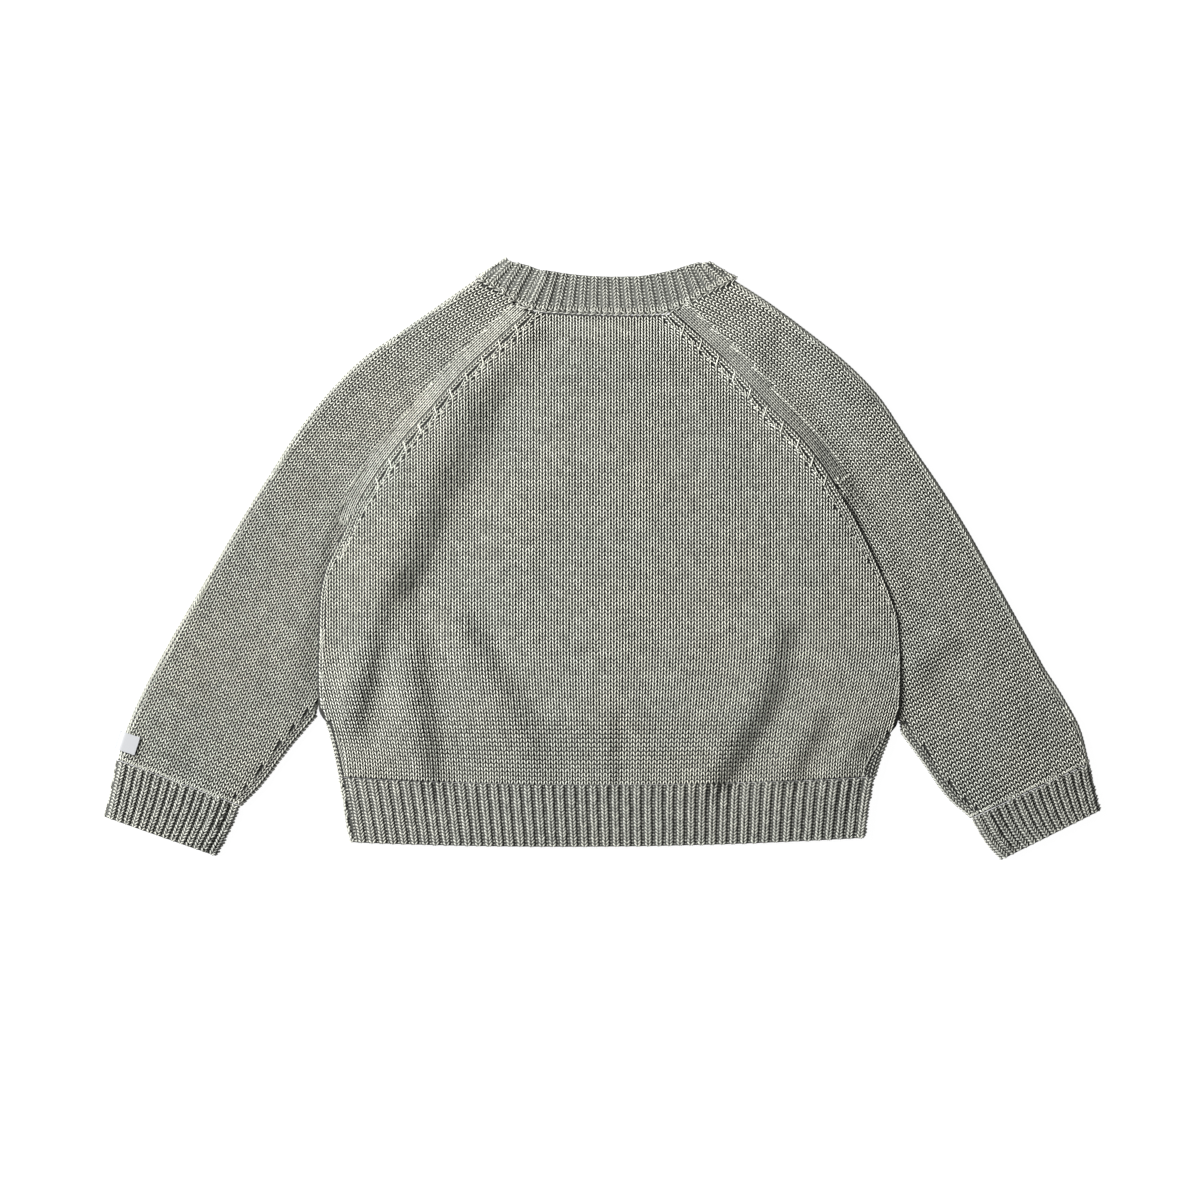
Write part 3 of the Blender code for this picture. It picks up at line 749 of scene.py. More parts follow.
def back_grid():
    y = heights_between(RIB_TOP, NECK_TOP, BACK_EDGES["y"])[:, None]
    left, right = back_edges(y)
    x = left + (right - left) * np.linspace(0.0, 1.0, 89)[None, :]
    flat = np.stack([x, y + 0 * x, back_level(x, y), 0 * x, 0 * x, 0 * x + 1], axis=-1)
    flat[..., 1] += hem_shift(x, y) + neck_shift(x, y)
    radius = 0.05 + EDGE_ROLL * over_sleeve(y)
    angle = np.linspace(0.0, math.pi, ROLL_STEPS + 1)[1:][None, :]
    across, up = np.sin(angle), np.cos(angle)
    rolls = []
    for edge, outward in ((flat[:, :1], -1.0), (flat[:, -1:], 1.0)):
        roll = np.repeat(edge, ROLL_STEPS, axis=1)
        roll[..., 0] += outward * radius * across
        roll[..., 2] += radius * (up - 1.0)
        roll[..., 3:] = np.stack([outward * across + 0 * y, 0 * across * y, up + 0 * y], axis=-1)
        rolls.append(roll)
    return np.concatenate([rolls[0][:, ::-1], flat, rolls[1]], axis=1)


back_cloth = wall("back_cloth", back_grid(), SHELL_OUT, SHELL_IN, PAINTED_SHADE_GROUND, REVERSE)

# %% The back's wales
FIRST_COURSE = 0.9  # the lowest stitches, above the rib
HEM_DRAW = 0.09  # how far the wales draw in at the hem
DRAWN_IN = (-118.0, -40.0)  # the heights between which they do
CLOSER = (20.0, 60.0)  # the heights between which the courses draw closer together
HALFWAY = 1.4  # the stitches left of this x are a piece of their own


def wale_lines(middle, reach):
    """The x of each wale at the chest, from the middle outwards to both sides."""
    lines = [middle]
    while lines[-1] < middle + reach:
        share = (lines[-1] - middle) / reach
        lines.append(lines[-1] + BODY_WALE + (SIDE_WALE - BODY_WALE) * share**2)
    lines = np.array(lines)
    return np.concatenate([2 * middle - lines[:0:-1], lines])


def courses(top):
    """The y of each course from the hem up to the top. The upper ones lie closer together."""
    heights = [RIB_TOP + FIRST_COURSE]
    while heights[-1] < top:
        closer = float(ease(*CLOSER, heights[-1]))
        heights.append(heights[-1] + BODY_COURSE + (UPPER_COURSE - BODY_COURSE) * closer)
    return np.array(heights[:-1])


def plain_field(middle, reach, top):
    """Stitches of a straight panel in plan: their places, the ways of their wales, their sizes."""
    heights, lines = courses(top)[::-1], wale_lines(middle, reach)
    y, x = np.meshgrid(heights, lines, indexing="ij")

    def drawn(height):
        return middle + (x - middle) * (1 - HEM_DRAW * (1 - ease(*DRAWN_IN, height)))

    ways = np.stack([drawn(y + 1.0) - drawn(y - 1.0), 0 * y + 2.0], axis=-1)
    places = np.stack([drawn(y), y + hem_shift(x, y)], axis=-1)
    widths = np.gradient(drawn(y), axis=1) / BODY_WALE
    lengths = -np.gradient(heights)[:, None] / BODY_COURSE + 0 * x
    sizes = np.stack([widths, lengths, 0 * x + 1.0], axis=-1)
    return places.reshape(-1, 2), unit(ways.reshape(-1, 2)), sizes.reshape(-1, 3)


def raglan_line(side, low=RAGLAN_FOOT, high=NECK_TOP + 9.0):
    """A raglan seam in plan, carried on a little past the neck."""
    y = np.linspace(high, low, 60)
    top, below = column_at(BODY, side, (NECK_TOP, NECK_TOP - 10.0))
    past_neck = np.maximum(y - NECK_TOP, 0.0) * (top - below) / 10.0
    return np.stack([column_at(BODY, side, y) + past_neck, y], axis=1)


def back_edge_line(side, low=-80.4):
    """The back's whole edge at one side: the raglan seam, then the edge over the sleeve."""
    y = np.linspace(RAGLAN_FOOT, low, 60)[1:]
    below = np.stack([column_at(BACK_EDGES, side, y), y], axis=1)
    return np.vstack([raglan_line(side), below])


def beside(line, towards, offsets, step):
    """Stitches in wales beside a line that runs away from the neck."""
    places, ways = spread_line(line, step)
    rows = [places + inwards(ways, towards) * offset for offset in offsets]
    return np.vstack(rows), np.tile(-ways, (len(offsets), 1))


MARK_STEP = 12.3  # one narrowing of the panel, along the seam
MARK_AT = 3.4
MARK_LEAN = 17.0
SEAM_GAP = 0.35  # the border's strands stay this far from the seam
EDGE_LAP = -0.6  # and reach this far over the back's loose edge
EDGE_WALE = 2.6
BULGE = 0.9  # of the border between two fashion marks
SCALLOPED = (24.0, 50.0)  # the heights between which that begins
SEAM_FOOT = (20.0, 34.0)  # and those between which the border leaves the raglan seam
BORDER_FOOT = -80.0  # the field makes room for the border down to here
FIELD_TURN = 0.7  # how far the field's wales turn to the border that they run into
FIELD_SINK = 0.25  # and how much lower they lie there
FIELD_NEAR = 6.0  # within this distance of it
FLAT_BORDER = (0.85, 0.9, 0.7)  # size beside plain stitches, where the back's edge is smooth
BACK_BORDER = (0.86, 0.98, 1.05)
SIDE_SEAM = (0.85, 1.0, 0.3)
FIELD_INSET = 0.7  # the field of plain stitches ends this far inside the back's edges
UNDER_NECK = 0.8  # and this far below the neck's seam
UNDER_BORDER = 1.9  # and runs this far under the border where the back's edge is smooth


def border_width(y):
    """Two wales along the raglan seam, and one along the edge below it."""
    return SEAM_GAP + EDGE_WALE * (1 + ease(-20.0, 20.0, y))


def turned_towards(ways, line_way, share):
    """Directions in plan, turned part of the way towards another direction."""
    return unit(ways * (1 - share[:, None]) + line_way * share[:, None])


def scallop(run):
    """The border's bulge between two fashion marks, 0 at each mark and 1 halfway."""
    return np.abs(np.sin(math.pi * run / MARK_STEP))


def back_border(side):
    """The wales beside the back's edge: scalloped along the raglan seam, smooth below it."""
    rows = []
    line = back_edge_line(side)
    for k in range(2):
        places, ways = spread_line(line, BORDER_COURSE)
        bulge = BULGE * scallop(np.arange(len(places)) * BORDER_COURSE) * k
        offset = (k + 0.5) * EDGE_WALE + bulge * ease(*SCALLOPED, places[:, 1])
        offset += EDGE_LAP + (SEAM_GAP - EDGE_LAP) * ease(*SEAM_FOOT, places[:, 1])
        places = places + inwards(ways, HAND[side]) * offset[:, None]
        kept = border_width(places[:, 1]) > SEAM_GAP + (k + 0.5) * EDGE_WALE
        kept &= places[:, 1] < line_at(NECK_LINE, places[:, 0]) - SEAM - 0.3
        along_seam = ease(*SEAM_FOOT, places[:, 1])[:, None]
        sizes = np.array(BACK_BORDER) * along_seam + np.array(FLAT_BORDER) * (1 - along_seam)
        at = raised(places[kept], BACK_START)
        rows.append(spots(at, UP, raised(-ways[kept]), sizes[kept]))
    return np.vstack(rows)


def fashion_marks(side):
    """The long slanting strands where the border moved inwards."""
    places, ways = spread_line(raglan_line(side, low=38.0, high=NECK_TOP - 3.0), MARK_STEP)
    places = places + inwards(ways, HAND[side]) * MARK_AT
    lean = math.radians(MARK_LEAN)
    wale = (HAND[side] * math.sin(lean), math.cos(lean), 0.0)
    return spots(raised(places, BACK_START), UP, wale)


def seam_wale(side):
    """The wale that closes the back at its side seam."""
    y = np.arange(RIB_TOP + 2.0, -96.0, BODY_COURSE)
    places = np.stack([column_at(BACK_EDGES, side, y) - HAND[side] * 0.5, y], axis=1)
    return spots(raised(places, BACK_START), UP, (0.0, 1.0, 0.0), SIDE_SEAM)


def back_stitches():
    places, ways, sizes = plain_field(middle=3.0, reach=160.0, top=131.0)
    places[:, 1] += neck_shift(*places.T)
    x, y = places.T
    left, right = back_edges(y)
    inside = (x > left + FIELD_INSET) & (x < right - FIELD_INSET)
    inside &= y < line_at(NECK_LINE, x) - SEAM - UNDER_NECK
    rows = []
    for side, towards in HAND.items():
        line = back_edge_line(side)
        beyond = distance_from(line, towards, places) - border_width(y)
        under = UNDER_BORDER * (1 - ease(10.0, 30.0, y))
        inside &= (y < BORDER_FOOT) | (beyond > -under)
        near = (1 - ease(0.0, FIELD_NEAR, beyond)) * ease(*SCALLOPED, y)
        along_raglan = unit(line[4] - line[34])
        ways = turned_towards(ways, along_raglan, FIELD_TURN * near)
        sizes[:, 2] *= 1 - FIELD_SINK * near
        rows.append(back_border(side))
    at = raised(places[inside], BACK_START)
    rows.append(spots(at, UP, raised(ways[inside]), sizes[inside]))
    return np.vstack(rows)


stitches = back_stitches()
at_left = stitches[:, 0] < HALFWAY
PLAIN = {"width": 1.17, "height": 1.8, "length": 2.45, "spread": 0.76, "lean": 18.0, "bend": 0.15}
MARK = {"width": 1.25, "height": 2.4, "length": 6.8}
back_left = lay("back_stitches_left", stitches[at_left], back_cloth, **PLAIN)
back_right = lay("back_stitches_right", stitches[~at_left], back_cloth, **PLAIN, seed=2)
marks = np.vstack([fashion_marks(side) for side in HAND])
back_marks = lay("back_fashion_marks", marks, back_cloth, **MARK, seed=9)
sides = np.vstack([seam_wale(side) for side in HAND])
# The side wales are in the darker yarn: painted shade.
back_sides = lay("back_side_wales", sides, back_cloth, **PLAIN, seed=10, yarn=PAINTED_SHADE_YARN)
back = (back_cloth, back_left, back_right, back_sides, back_marks)

# %% [markdown]
# ## The front
# Most of the front lies underneath. Below the armpits its margins turn up round the sides and show
# from above, between the edge of the body and the side seam. It is knitted like the back, without
# any detail of its own.

# %% The front's cloth
TURN = 8
MARGIN = 4
FRONT_COLUMNS = 60
FLAT_INSET = 1.0  # the flat part's stitches end this far inside its edges
TURNED_UP = (-92.0, -84.0)  # the heights between which the margins begin to turn up


def side_margin(y, side, thickness):
    """The front's grid at one side: a flat edge above the armpit, a turned one below it."""
    outward = HAND[side]
    low = thickness / 2
    edge = float(column_at(BODY, side, y))
    turned = float(column_at(BODY, side + "_turned", y))
    end = edge - outward * SEAM
    flat = stretch((end, y, low), (end - outward * OPEN_EDGE, y, low), TURN + MARGIN, -UP)
    if turned == 0:
        return flat
    centre = edge - outward * (SIDE_LEVEL - low + thickness) / 2
    seam = float(column_at(BACK_EDGES, side, y)) + outward * SEAM
    over = max((centre - seam) * outward, 0.1)
    top = stretch((centre - outward * over, y, SIDE_LEVEL), (centre, y, SIDE_LEVEL), MARGIN)
    fold = turn((centre, y), np.array([float(outward), 0.0]), low, SIDE_LEVEL, TURN)
    return flat * (1 - turned) + np.vstack([top[:-1], fold]) * turned


def front_row(y, thickness):
    left, right = (side_margin(y, side, thickness) for side in HAND)
    middle = stretch(left[-1, :3], right[-1, :3], FRONT_COLUMNS, -UP)
    return np.vstack([left, middle[1:-1], right[::-1]])


def neck_dip(x, y):
    """How far the front's neck lies below the tops of its raglan seams."""
    left, right = body_edges(y)
    return NECK_DEPTH * (1 - ((2 * x - left - right) / (right - left)) ** 2)


def front_grid():
    rows = []
    for y in heights_between(RIB_TOP, FRONT_TOP, BODY["y"]):
        row = front_row(y, CLOTH)
        x = row[:, 0]
        row[:, 1] += hem_shift(x, y) - neck_dip(x, y) * ease(FRONT_NECK_EASE, FRONT_TOP, y)
        rows.append(row)
    return np.array(rows)


front_shape = front_grid()
front_cloth = wall("front_cloth", front_shape, SHELL_OUT, SHELL_IN, PAINTED_SHADE_GROUND, REVERSE)


# %% The front's wales
def walk(path, step):
    """Places at even steps along a path of grid points, with the way back along it at each."""
    run = run_along(path[:, :3])
    count = max(round(run[-1] / step), 1)
    values = at_run(path, run, (np.arange(count) + 0.5) * run[-1] / count)
    back = -np.gradient(values[:, :3], axis=0)
    return values[:, :3], unit(values[:, 3:]), unit(back)


def wales_on(grid, columns, step):
    """Stitches down some columns of a grid. The first row is the end that the wales run to."""
    exact = np.concatenate([grid[..., :3], facing(grid)], axis=2)
    return np.vstack([spots(*walk(exact[:, column], step)) for column in columns])


def front_stitches():
    places, ways, sizes = plain_field(middle=1.5, reach=160.0, top=119.0)
    x, y = places.T
    left, right = body_edges(y)
    roll = (SIDE_LEVEL - LYING + CLOTH) / 2
    inset = FLAT_INSET + (roll - FLAT_INSET) * (1 - ease(*TURNED_UP, y))
    inside = (x > left + inset) & (x < right - inset) & (y < FRONT_TOP - neck_dip(x, y) - 1.0)
    at = raised(places[inside], UNDER_START)
    return spots(at, -UP, raised(ways[inside]), sizes[inside])


def margin_stitches():
    """The wales round the front's two edges, where they turn up below the armpits."""
    turned = front_shape[front_shape[:, 0, 1] < ARMPIT - 4.0]
    margins = turned[:, : TURN + MARGIN + 1], turned[:, : -(TURN + MARGIN + 2) : -1]
    return np.vstack([wales_on(spaced(edge, 12), (1, 4, 7, 10), BODY_COURSE) for edge in margins])


stitches = front_stitches()
at_left = stitches[:, 0] < HALFWAY
FLAT_PLAIN = {**PLAIN, "height": 1.25, "rings": 2}
front_left = lay("front_stitches_left", stitches[at_left], front_cloth, **FLAT_PLAIN, seed=3)
front_right = lay("front_stitches_right", stitches[~at_left], front_cloth, **FLAT_PLAIN, seed=4)
# The front's margins are in the darker yarn: painted shade.
FRONT_EDGE = {**FLAT_PLAIN, "yarn": PAINTED_SHADE_YARN}
front_margins = lay("front_side_stitches", margin_stitches(), front_cloth, **FRONT_EDGE, seed=27)
front = (front_cloth, front_left, front_right, front_margins)


# %% [markdown]
# ## The sleeves
# A sleeve is one piece of cloth folded along its outer edge and closed by a seam under the arm.
# Above the armpit it is sewn to the body along the raglan seams. Its wales follow the outer fold,
# except for the strip between the seam under the arm and the inner fold.

# %% The sleeves' tables
LEFT_RAGLAN = table(
    "outer_x outer_y inner_y inner_z",
    (-66.8, 148.4, 130.4, SIDE_LEVEL),
    (-86.5, 134.5, 115.0, SIDE_LEVEL),
    (-108.0, 119.5, 98.0, SIDE_LEVEL),
    (-126.5, 106.6, 80.0, SIDE_LEVEL),
    (-144.0, 89.5, 63.0, SIDE_LEVEL),
    (-161.5, 67.8, 44.0, SIDE_LEVEL),
    (-177.0, 43.8, 24.0, UNDER_BACK),
    (-191.0, 21.5, 3.0, UNDER_BACK),
    (-207.0, -5.5, -26.0, UNDER_BACK),
    (-219.5, -26.5, -56.0, UNDER_BACK),
    (-226.5, -38.5, -72.0, UNDER_BACK),
)
RIGHT_RAGLAN = table(
    "outer_x outer_y inner_y inner_z",
    (70.6, 147.2, 130.4, SIDE_LEVEL),
    (88.5, 135.6, 115.0, SIDE_LEVEL),
    (109.0, 120.4, 98.0, SIDE_LEVEL),
    (128.0, 105.2, 80.0, SIDE_LEVEL),
    (146.0, 87.0, 63.0, SIDE_LEVEL),
    (164.5, 59.6, 44.0, SIDE_LEVEL),
    (181.5, 34.8, 24.0, 5.2),
    (195.0, 13.0, 3.0, 4.8),
    (210.0, -14.0, -26.0, 4.8),
    (222.0, -35.5, -56.0, 4.6),
    (229.0, -48.0, -81.5, 4.4),
)
TUBE_COLUMNS = "outer_x outer_y inner_x inner_y inner_z"
LEFT_TUBE = table(
    TUBE_COLUMNS,
    (-231.0, -46.5, -151.2, -84.2, 4.2),
    (-241.5, -66.0, -165.0, -100.4, 4.6),
    (-251.5, -88.0, -180.3, -120.6, 4.7),
    (-257.2, -106.4, -191.0, -131.2, CUFF_LEVEL),
)
RIGHT_TUBE = table(
    TUBE_COLUMNS,
    (234.8, -58.4, 158.0, -92.8, 4.2),
    (244.0, -72.5, 169.5, -108.6, 4.6),
    (254.0, -91.5, 182.3, -126.6, 4.7),
    (258.2, -108.4, 195.0, -137.6, CUFF_LEVEL),
)

# %% A sleeve's cloth
TOP = 22
UNDER = 16
RAGLAN_ROWS = 61
LOWEST_SLEEVE = LYING + CLOTH + SEAM


def across_top(seam, centre, start_z, end_z, crown):
    """A sleeve's grid from its seam across the top to its outer fold."""
    run = stretch((*seam, start_z), (*centre, end_z), TOP)
    t = np.linspace(0.0, 1.0, TOP + 1)
    x, y = run[:, 0], run[:, 1]
    # Under the back's edge a sleeve lies flat, and a fold dies out towards the outer fold.
    free = (1 - ease(0.55, 1.0, t)) * (1 - (1 - ease(0.0, 0.3, t)) * over_sleeve(y))
    run[:, 2] += crown * np.sin(math.pi * t) + fold_height(x, y) * free
    run[:, 2] = np.maximum(run[:, 2], LOWEST_SLEEVE)
    return run[:-1]


def raglan_row(outer, top_inner, under_inner, inner_z):
    outward = unit(outer - (top_inner + under_inner) / 2)
    centre = outer - outward * (SLEEVE_LEVEL - LYING + CLOTH) / 2
    top_seam = top_inner + unit(outer - top_inner) * SEAM
    under_seam = under_inner + unit(outer - under_inner) * SEAM
    near_seam = under_inner + unit(outer - under_inner) * (SEAM + OPEN_EDGE)
    return np.vstack([
        across_top(top_seam, centre, inner_z, SLEEVE_LEVEL, SLEEVE_CROWN),
        turn(centre, outward, LYING, SLEEVE_LEVEL, TURN),
        stretch((*centre, LYING), (*near_seam, LYING), UNDER, -UP)[1:-1],
        stretch((*near_seam, LYING), (*under_seam, LYING), TURN + MARGIN, -UP),
    ])


def tube_row(outer, inner, inner_z, outer_z, thickness):
    low = thickness / 2
    outward = unit(outer - inner)
    centre = outer - outward * (outer_z - low + thickness) / 2
    inner_centre = inner + outward * (inner_z - low + thickness) / 2
    seam = inner + outward * (SLEEVE_SEAM + SEAM)
    last = inner + outward * SLEEVE_SEAM
    return np.vstack([
        across_top(seam, centre, inner_z, outer_z, SLEEVE_CROWN),
        turn(centre, outward, low, outer_z, TURN),
        stretch((*centre, low), (*inner_centre, low), UNDER, -UP)[1:-1],
        turn(inner_centre, -outward, low, inner_z, TURN)[::-1],
        stretch((*inner_centre, inner_z), (*last, inner_z), MARGIN)[1:],
    ])


def tube_grid(columns, count, outer_z, thickness):
    rows = finer(columns, count)
    return np.array([tube_row(row[:2], row[2:4], row[4], outer_z, thickness) for row in rows])


def sleeve_grid(side, raglan, tube):
    rows = []
    for outer_x, outer_y, inner_y, inner_z in finer(raglan, RAGLAN_ROWS):
        top_inner, under_inner = (
            np.array([column_at(BODY, side, y), y]) for y in (inner_y, min(inner_y, FRONT_TOP))
        )
        inner_z += (seam_level(inner_y) - SIDE_LEVEL) * ease(RAGLAN_FOOT, 44.0, inner_y)
        rows.append(raglan_row(np.array([outer_x, outer_y]), top_inner, under_inner, inner_z))
    return np.vstack([rows, tube_grid(tube, 16, SLEEVE_LEVEL, CLOTH)])


left_shape = sleeve_grid("left", LEFT_RAGLAN, LEFT_TUBE)
right_shape = sleeve_grid("right", RIGHT_RAGLAN, RIGHT_TUBE)
left_sleeve = wall("left_sleeve_cloth", left_shape, SHELL_OUT, SHELL_IN, PAINTED_SHADE_GROUND, REVERSE)
right_sleeve = wall("right_sleeve_cloth", right_shape, SHELL_OUT, SHELL_IN, PAINTED_SHADE_GROUND, REVERSE)


# %% A sleeve's wales
def calm(line, before, after):
    """A line's general run as a cubic curve, carried on past both of its ends."""
    run = run_along(line)
    at = np.linspace(-before, run[-1] + after, 200)
    return np.stack([np.polyval(np.polyfit(run, values, 3), at) for values in line.T], axis=1)


BORDER_END = {"left": 16.0, "right": 38.0}  # the y where a sleeve's smooth border dies out
BORDER_WALES = 4
SLEEVE_BORDER = SEAM_GAP + BORDER_WALES * BORDER_WALE
SLEEVE_REACH = 112.0  # from the outer fold to the last wale
PAST_FOLD = 0.2  # the top's stitches reach this far round the outer fold
FOLD_ANGLES = (10.0, 58.0, 106.0, 154.0)  # rows of stitches round the fold, from its top
FOLD_SIZE = (1.0, 1.15, 0.35)
UNDER_EDGE = 3.0  # how far the sleeve's stitches go on under the back's edge
LINKED_ABOVE = 1.1  # the last course lies this far above the cuff
LINKED_SIZE = (0.95, 0.8, 0.9)


def sleeve_stitches(side, raglan, tube):
    """Stitches on a sleeve's upper cloth, underside and outer fold, and beside its seams."""
    towards = HAND[side]
    outer_edge = np.vstack([finer(raglan, 120)[:, :2], finer(tube, 40)[:, :2]])
    guide = calm(outer_edge, before=30.0, after=12.0)
    offsets = np.arange(1.0, SLEEVE_REACH, SLEEVE_WALE)
    places, ways = beside(guide, towards, offsets, SLEEVE_COURSE)
    roll = (SLEEVE_LEVEL - LYING + CLOTH) / 2
    from_fold = distance_from(outer_edge, towards, places)
    top = from_fold > roll - PAST_FOLD
    under = top.copy()
    # Beside the raglan seams the wales run with the seam, as far down as it shows.
    lowest = (BORDER_END[side], ARMPIT)
    seams = raglan_line(side, low=lowest[0]), raglan_line(side, lowest[1], FRONT_TOP)
    for wanted, seam, low in zip((top, under), seams, lowest):
        from_seam = distance_from(seam, -towards, places)
        wanted &= (from_seam > SLEEVE_BORDER - 1.0) | (places[:, 1] < low + 4.0)
    # Below the armpit the strip past the seam has wales of its own.
    inner_line = finer(tube, 60)[:, 2:4]
    first = inner_line[0] + unit(inner_line[0] - inner_line[8]) * 40.0
    inner_line = np.vstack([first, inner_line])
    from_inner = distance_from(inner_line, -towards, places)
    low = places[:, 1] < tube["inner_y"][0] + 6.0
    top &= ~(low & (from_inner < SLEEVE_SEAM + 0.1))
    under &= ~(low & (from_inner < roll - 0.6))
    # What lies well under the back's edge never shows.
    left, right = back_edges(places[:, 1])
    beyond = left - places[:, 0] if side == "left" else places[:, 0] - right
    top &= (beyond > -UNDER_EDGE) | (places[:, 1] < ARMPIT)
    above = spots(raised(places[top], SLEEVE_START), UP, raised(ways[top]))
    below = spots(raised(places[under], UNDER_START), -UP, raised(ways[under]))
    edge = []
    fold_places, fold_ways = beside(outer_edge, towards, (roll,), SLEEVE_COURSE)
    outward = raised(-inwards(-fold_ways, towards))
    for angle in np.radians(FOLD_ANGLES):
        aim = outward * math.sin(angle) + UP * math.cos(angle)
        fold = raised(fold_places, (SLEEVE_LEVEL + LYING) / 2)
        edge.append(spots(fold, aim, raised(fold_ways), FOLD_SIZE))
    border = SEAM_GAP + (np.arange(BORDER_WALES) + 0.5) * BORDER_WALE
    smooth_rows = []
    for seam, way, z in zip(seams, (UP, -UP), (SLEEVE_START, UNDER_START)):
        seam_places, seam_ways = beside(seam, -towards, border, BORDER_COURSE)
        smooth_rows.append(spots(raised(seam_places, z), way, raised(seam_ways)))
    return above, below, np.vstack(edge), np.vstack(smooth_rows)


def strip_stitches(shape):
    """The wales round the inner fold, beside the seam under the arm."""
    strip = shape[RAGLAN_ROWS - 1 :, TOP + TURN + UNDER - 1 :]
    return wales_on(spaced(strip, 11), (1, 3, 5, 7, 9), SLEEVE_COURSE)


def last_course(shape):
    """One course all along the end of a sleeve, where the cuff is linked to it."""
    places, out, _ = walk(shape[-1], SLEEVE_WALE * 0.9)
    wale = unit(shape[-2, TOP // 2, :3] - shape[-1, TOP // 2, :3])
    return spots(places + wale * LINKED_ABOVE, out, wale, LINKED_SIZE)


SLEEVE_PLAIN = {
    "width": 0.98, "height": 1.9, "length": 2.42, "spread": 0.66, "lean": 18.0, "bend": 0.13
}
# The rows round the outer folds are in the darker yarn: painted shade.
SLEEVE_EDGE = {**SLEEVE_PLAIN, "height": 1.5, "yarn": PAINTED_SHADE_YARN}
SLEEVE_UNDER = {**SLEEVE_PLAIN, "rings": 2}
SMOOTH_BORDER = {"width": 0.9, "height": 0.9, "length": 2.6, "spread": 0.5, "lean": 9.0}


def dressed(side, shape, shell, raglan, tube, seeds, border_yarn):
    """A sleeve's shell with its strands: top, underside, folds and the borders at its seams."""
    above, below, edge, border = sleeve_stitches(side, raglan, tube)
    above = np.vstack([above, last_course(shape)])
    edge = np.vstack([edge, strip_stitches(shape)])
    parts = (
        ("stitches", above, SLEEVE_PLAIN),
        ("under_stitches", below, SLEEVE_UNDER),
        ("edges", edge, SLEEVE_EDGE),
        ("borders", border, {**SMOOTH_BORDER, "yarn": border_yarn}),
    )
    return shell, *(
        lay(f"{side}_sleeve_{part}", rows, shell, **look, seed=seed)
        for (part, rows, look), seed in zip(parts, seeds)
    )


left_sleeve = dressed(
    "left", left_shape, left_sleeve, LEFT_RAGLAN, LEFT_TUBE, (5, 6, 25, 23), YARN
)
# The right sleeve's border is in the darker yarn: painted shade.
right_sleeve = dressed(
    "right", right_shape, right_sleeve, RIGHT_RAGLAN, RIGHT_TUBE, (7, 8, 26, 24), PAINTED_SHADE_YARN
)

# %% [markdown]
# ## Ribbed bands
# One rib is a wale of knit stitches that stands up and a wale of purl stitches that sinks between
# its neighbours. The shell is corrugated to match, with eight columns of grid to a rib. Knit
# wales are the same leaning pairs as before, and each purl stitch is a short bar in the trough.

# %% Ribs
RIB_STEPS = 8
RIB_RELIEF = 0.3
RIB_DEPTH = 1.05  # from the corrugated outer skin to the inner one
# The ribs' strands are in the darker yarn and their ground is painted dark: both are painted shade.
RIB_KNIT = {
    "width": 1.35, "height": 1.35, "length": 2.6, "spread": 0.92, "lean": 40.0, "yarn": PAINTED_SHADE_YARN
}
RIB_PURL = {"width": 1.25, "height": 1.0, "length": 2.2, "rings": 2, "yarn": PAINTED_SHADE_YARN}
PURL_SLANT = 0.12
BACK_RIBS, FRONT_RIBS, CUFF_RIBS, BAND_RIBS = 47, 50, 29, 50


def ribbed(
    name, shape, ribs, seed, relief=RIB_RELIEF, knit_look=RIB_KNIT, purl_look=RIB_PURL,
    ends=0, ground=RIB_PAINTED_SHADE_GROUND
):
    """A corrugated shell with its strands. The ribs run down the columns of the shape."""
    grid = spaced(shape, ribs * RIB_STEPS + 1)
    phase = 2 * math.pi * np.arange(grid.shape[1]) / RIB_STEPS
    relief = (-relief * np.cos(phase))[None, :, None]
    shell = wall(name + "_cloth", grid, relief, relief - RIB_DEPTH, ground, REVERSE)
    crests = range(RIB_STEPS // 2, grid.shape[1], RIB_STEPS)
    knit = wales_on(grid, crests, RIB_COURSE)
    troughs = range(ends, grid.shape[1], RIB_STEPS)
    purl = wales_on(grid, troughs, RIB_COURSE)
    # A purl bar lies across its wale.
    purl[:, 6:9] = np.cross(-purl[:, 3:6], purl[:, 6:9]) + PURL_SLANT * purl[:, 6:9]
    knits = lay(name + "_knit_wales", knit, shell, **knit_look, seed=seed)
    purls = lay(name + "_purl_wales", purl, shell, **purl_look, seed=seed + 1)
    return shell, knits, purls


# %% The ribbed hem
def back_hem_row(down):
    y = RIB_TOP + (RIB_BOTTOM - RIB_TOP) * down
    x = np.linspace(*back_edges(y), 120)
    z = SIDE_LEVEL + (back_level(x, y) - SIDE_LEVEL) * (1 - down)
    return np.stack([x, rib_line(x, down), z, 0 * x, 0 * x, 0 * x + 1], axis=1)


def front_hem_row(down):
    row = front_row(RIB_TOP + (RIB_BOTTOM - RIB_TOP) * down, RIB)
    row[:, 1] = rib_line(row[:, 0], down)
    return row


back_hem, front_hem = (
    ribbed(name, np.array([row_at(down) for down in np.linspace(0.0, 1.0, 11)]), ribs, seed)
    for name, row_at, ribs, seed in (
        ("back_hem", back_hem_row, BACK_RIBS, 11),
        ("front_hem", front_hem_row, FRONT_RIBS, 13),
    )
)

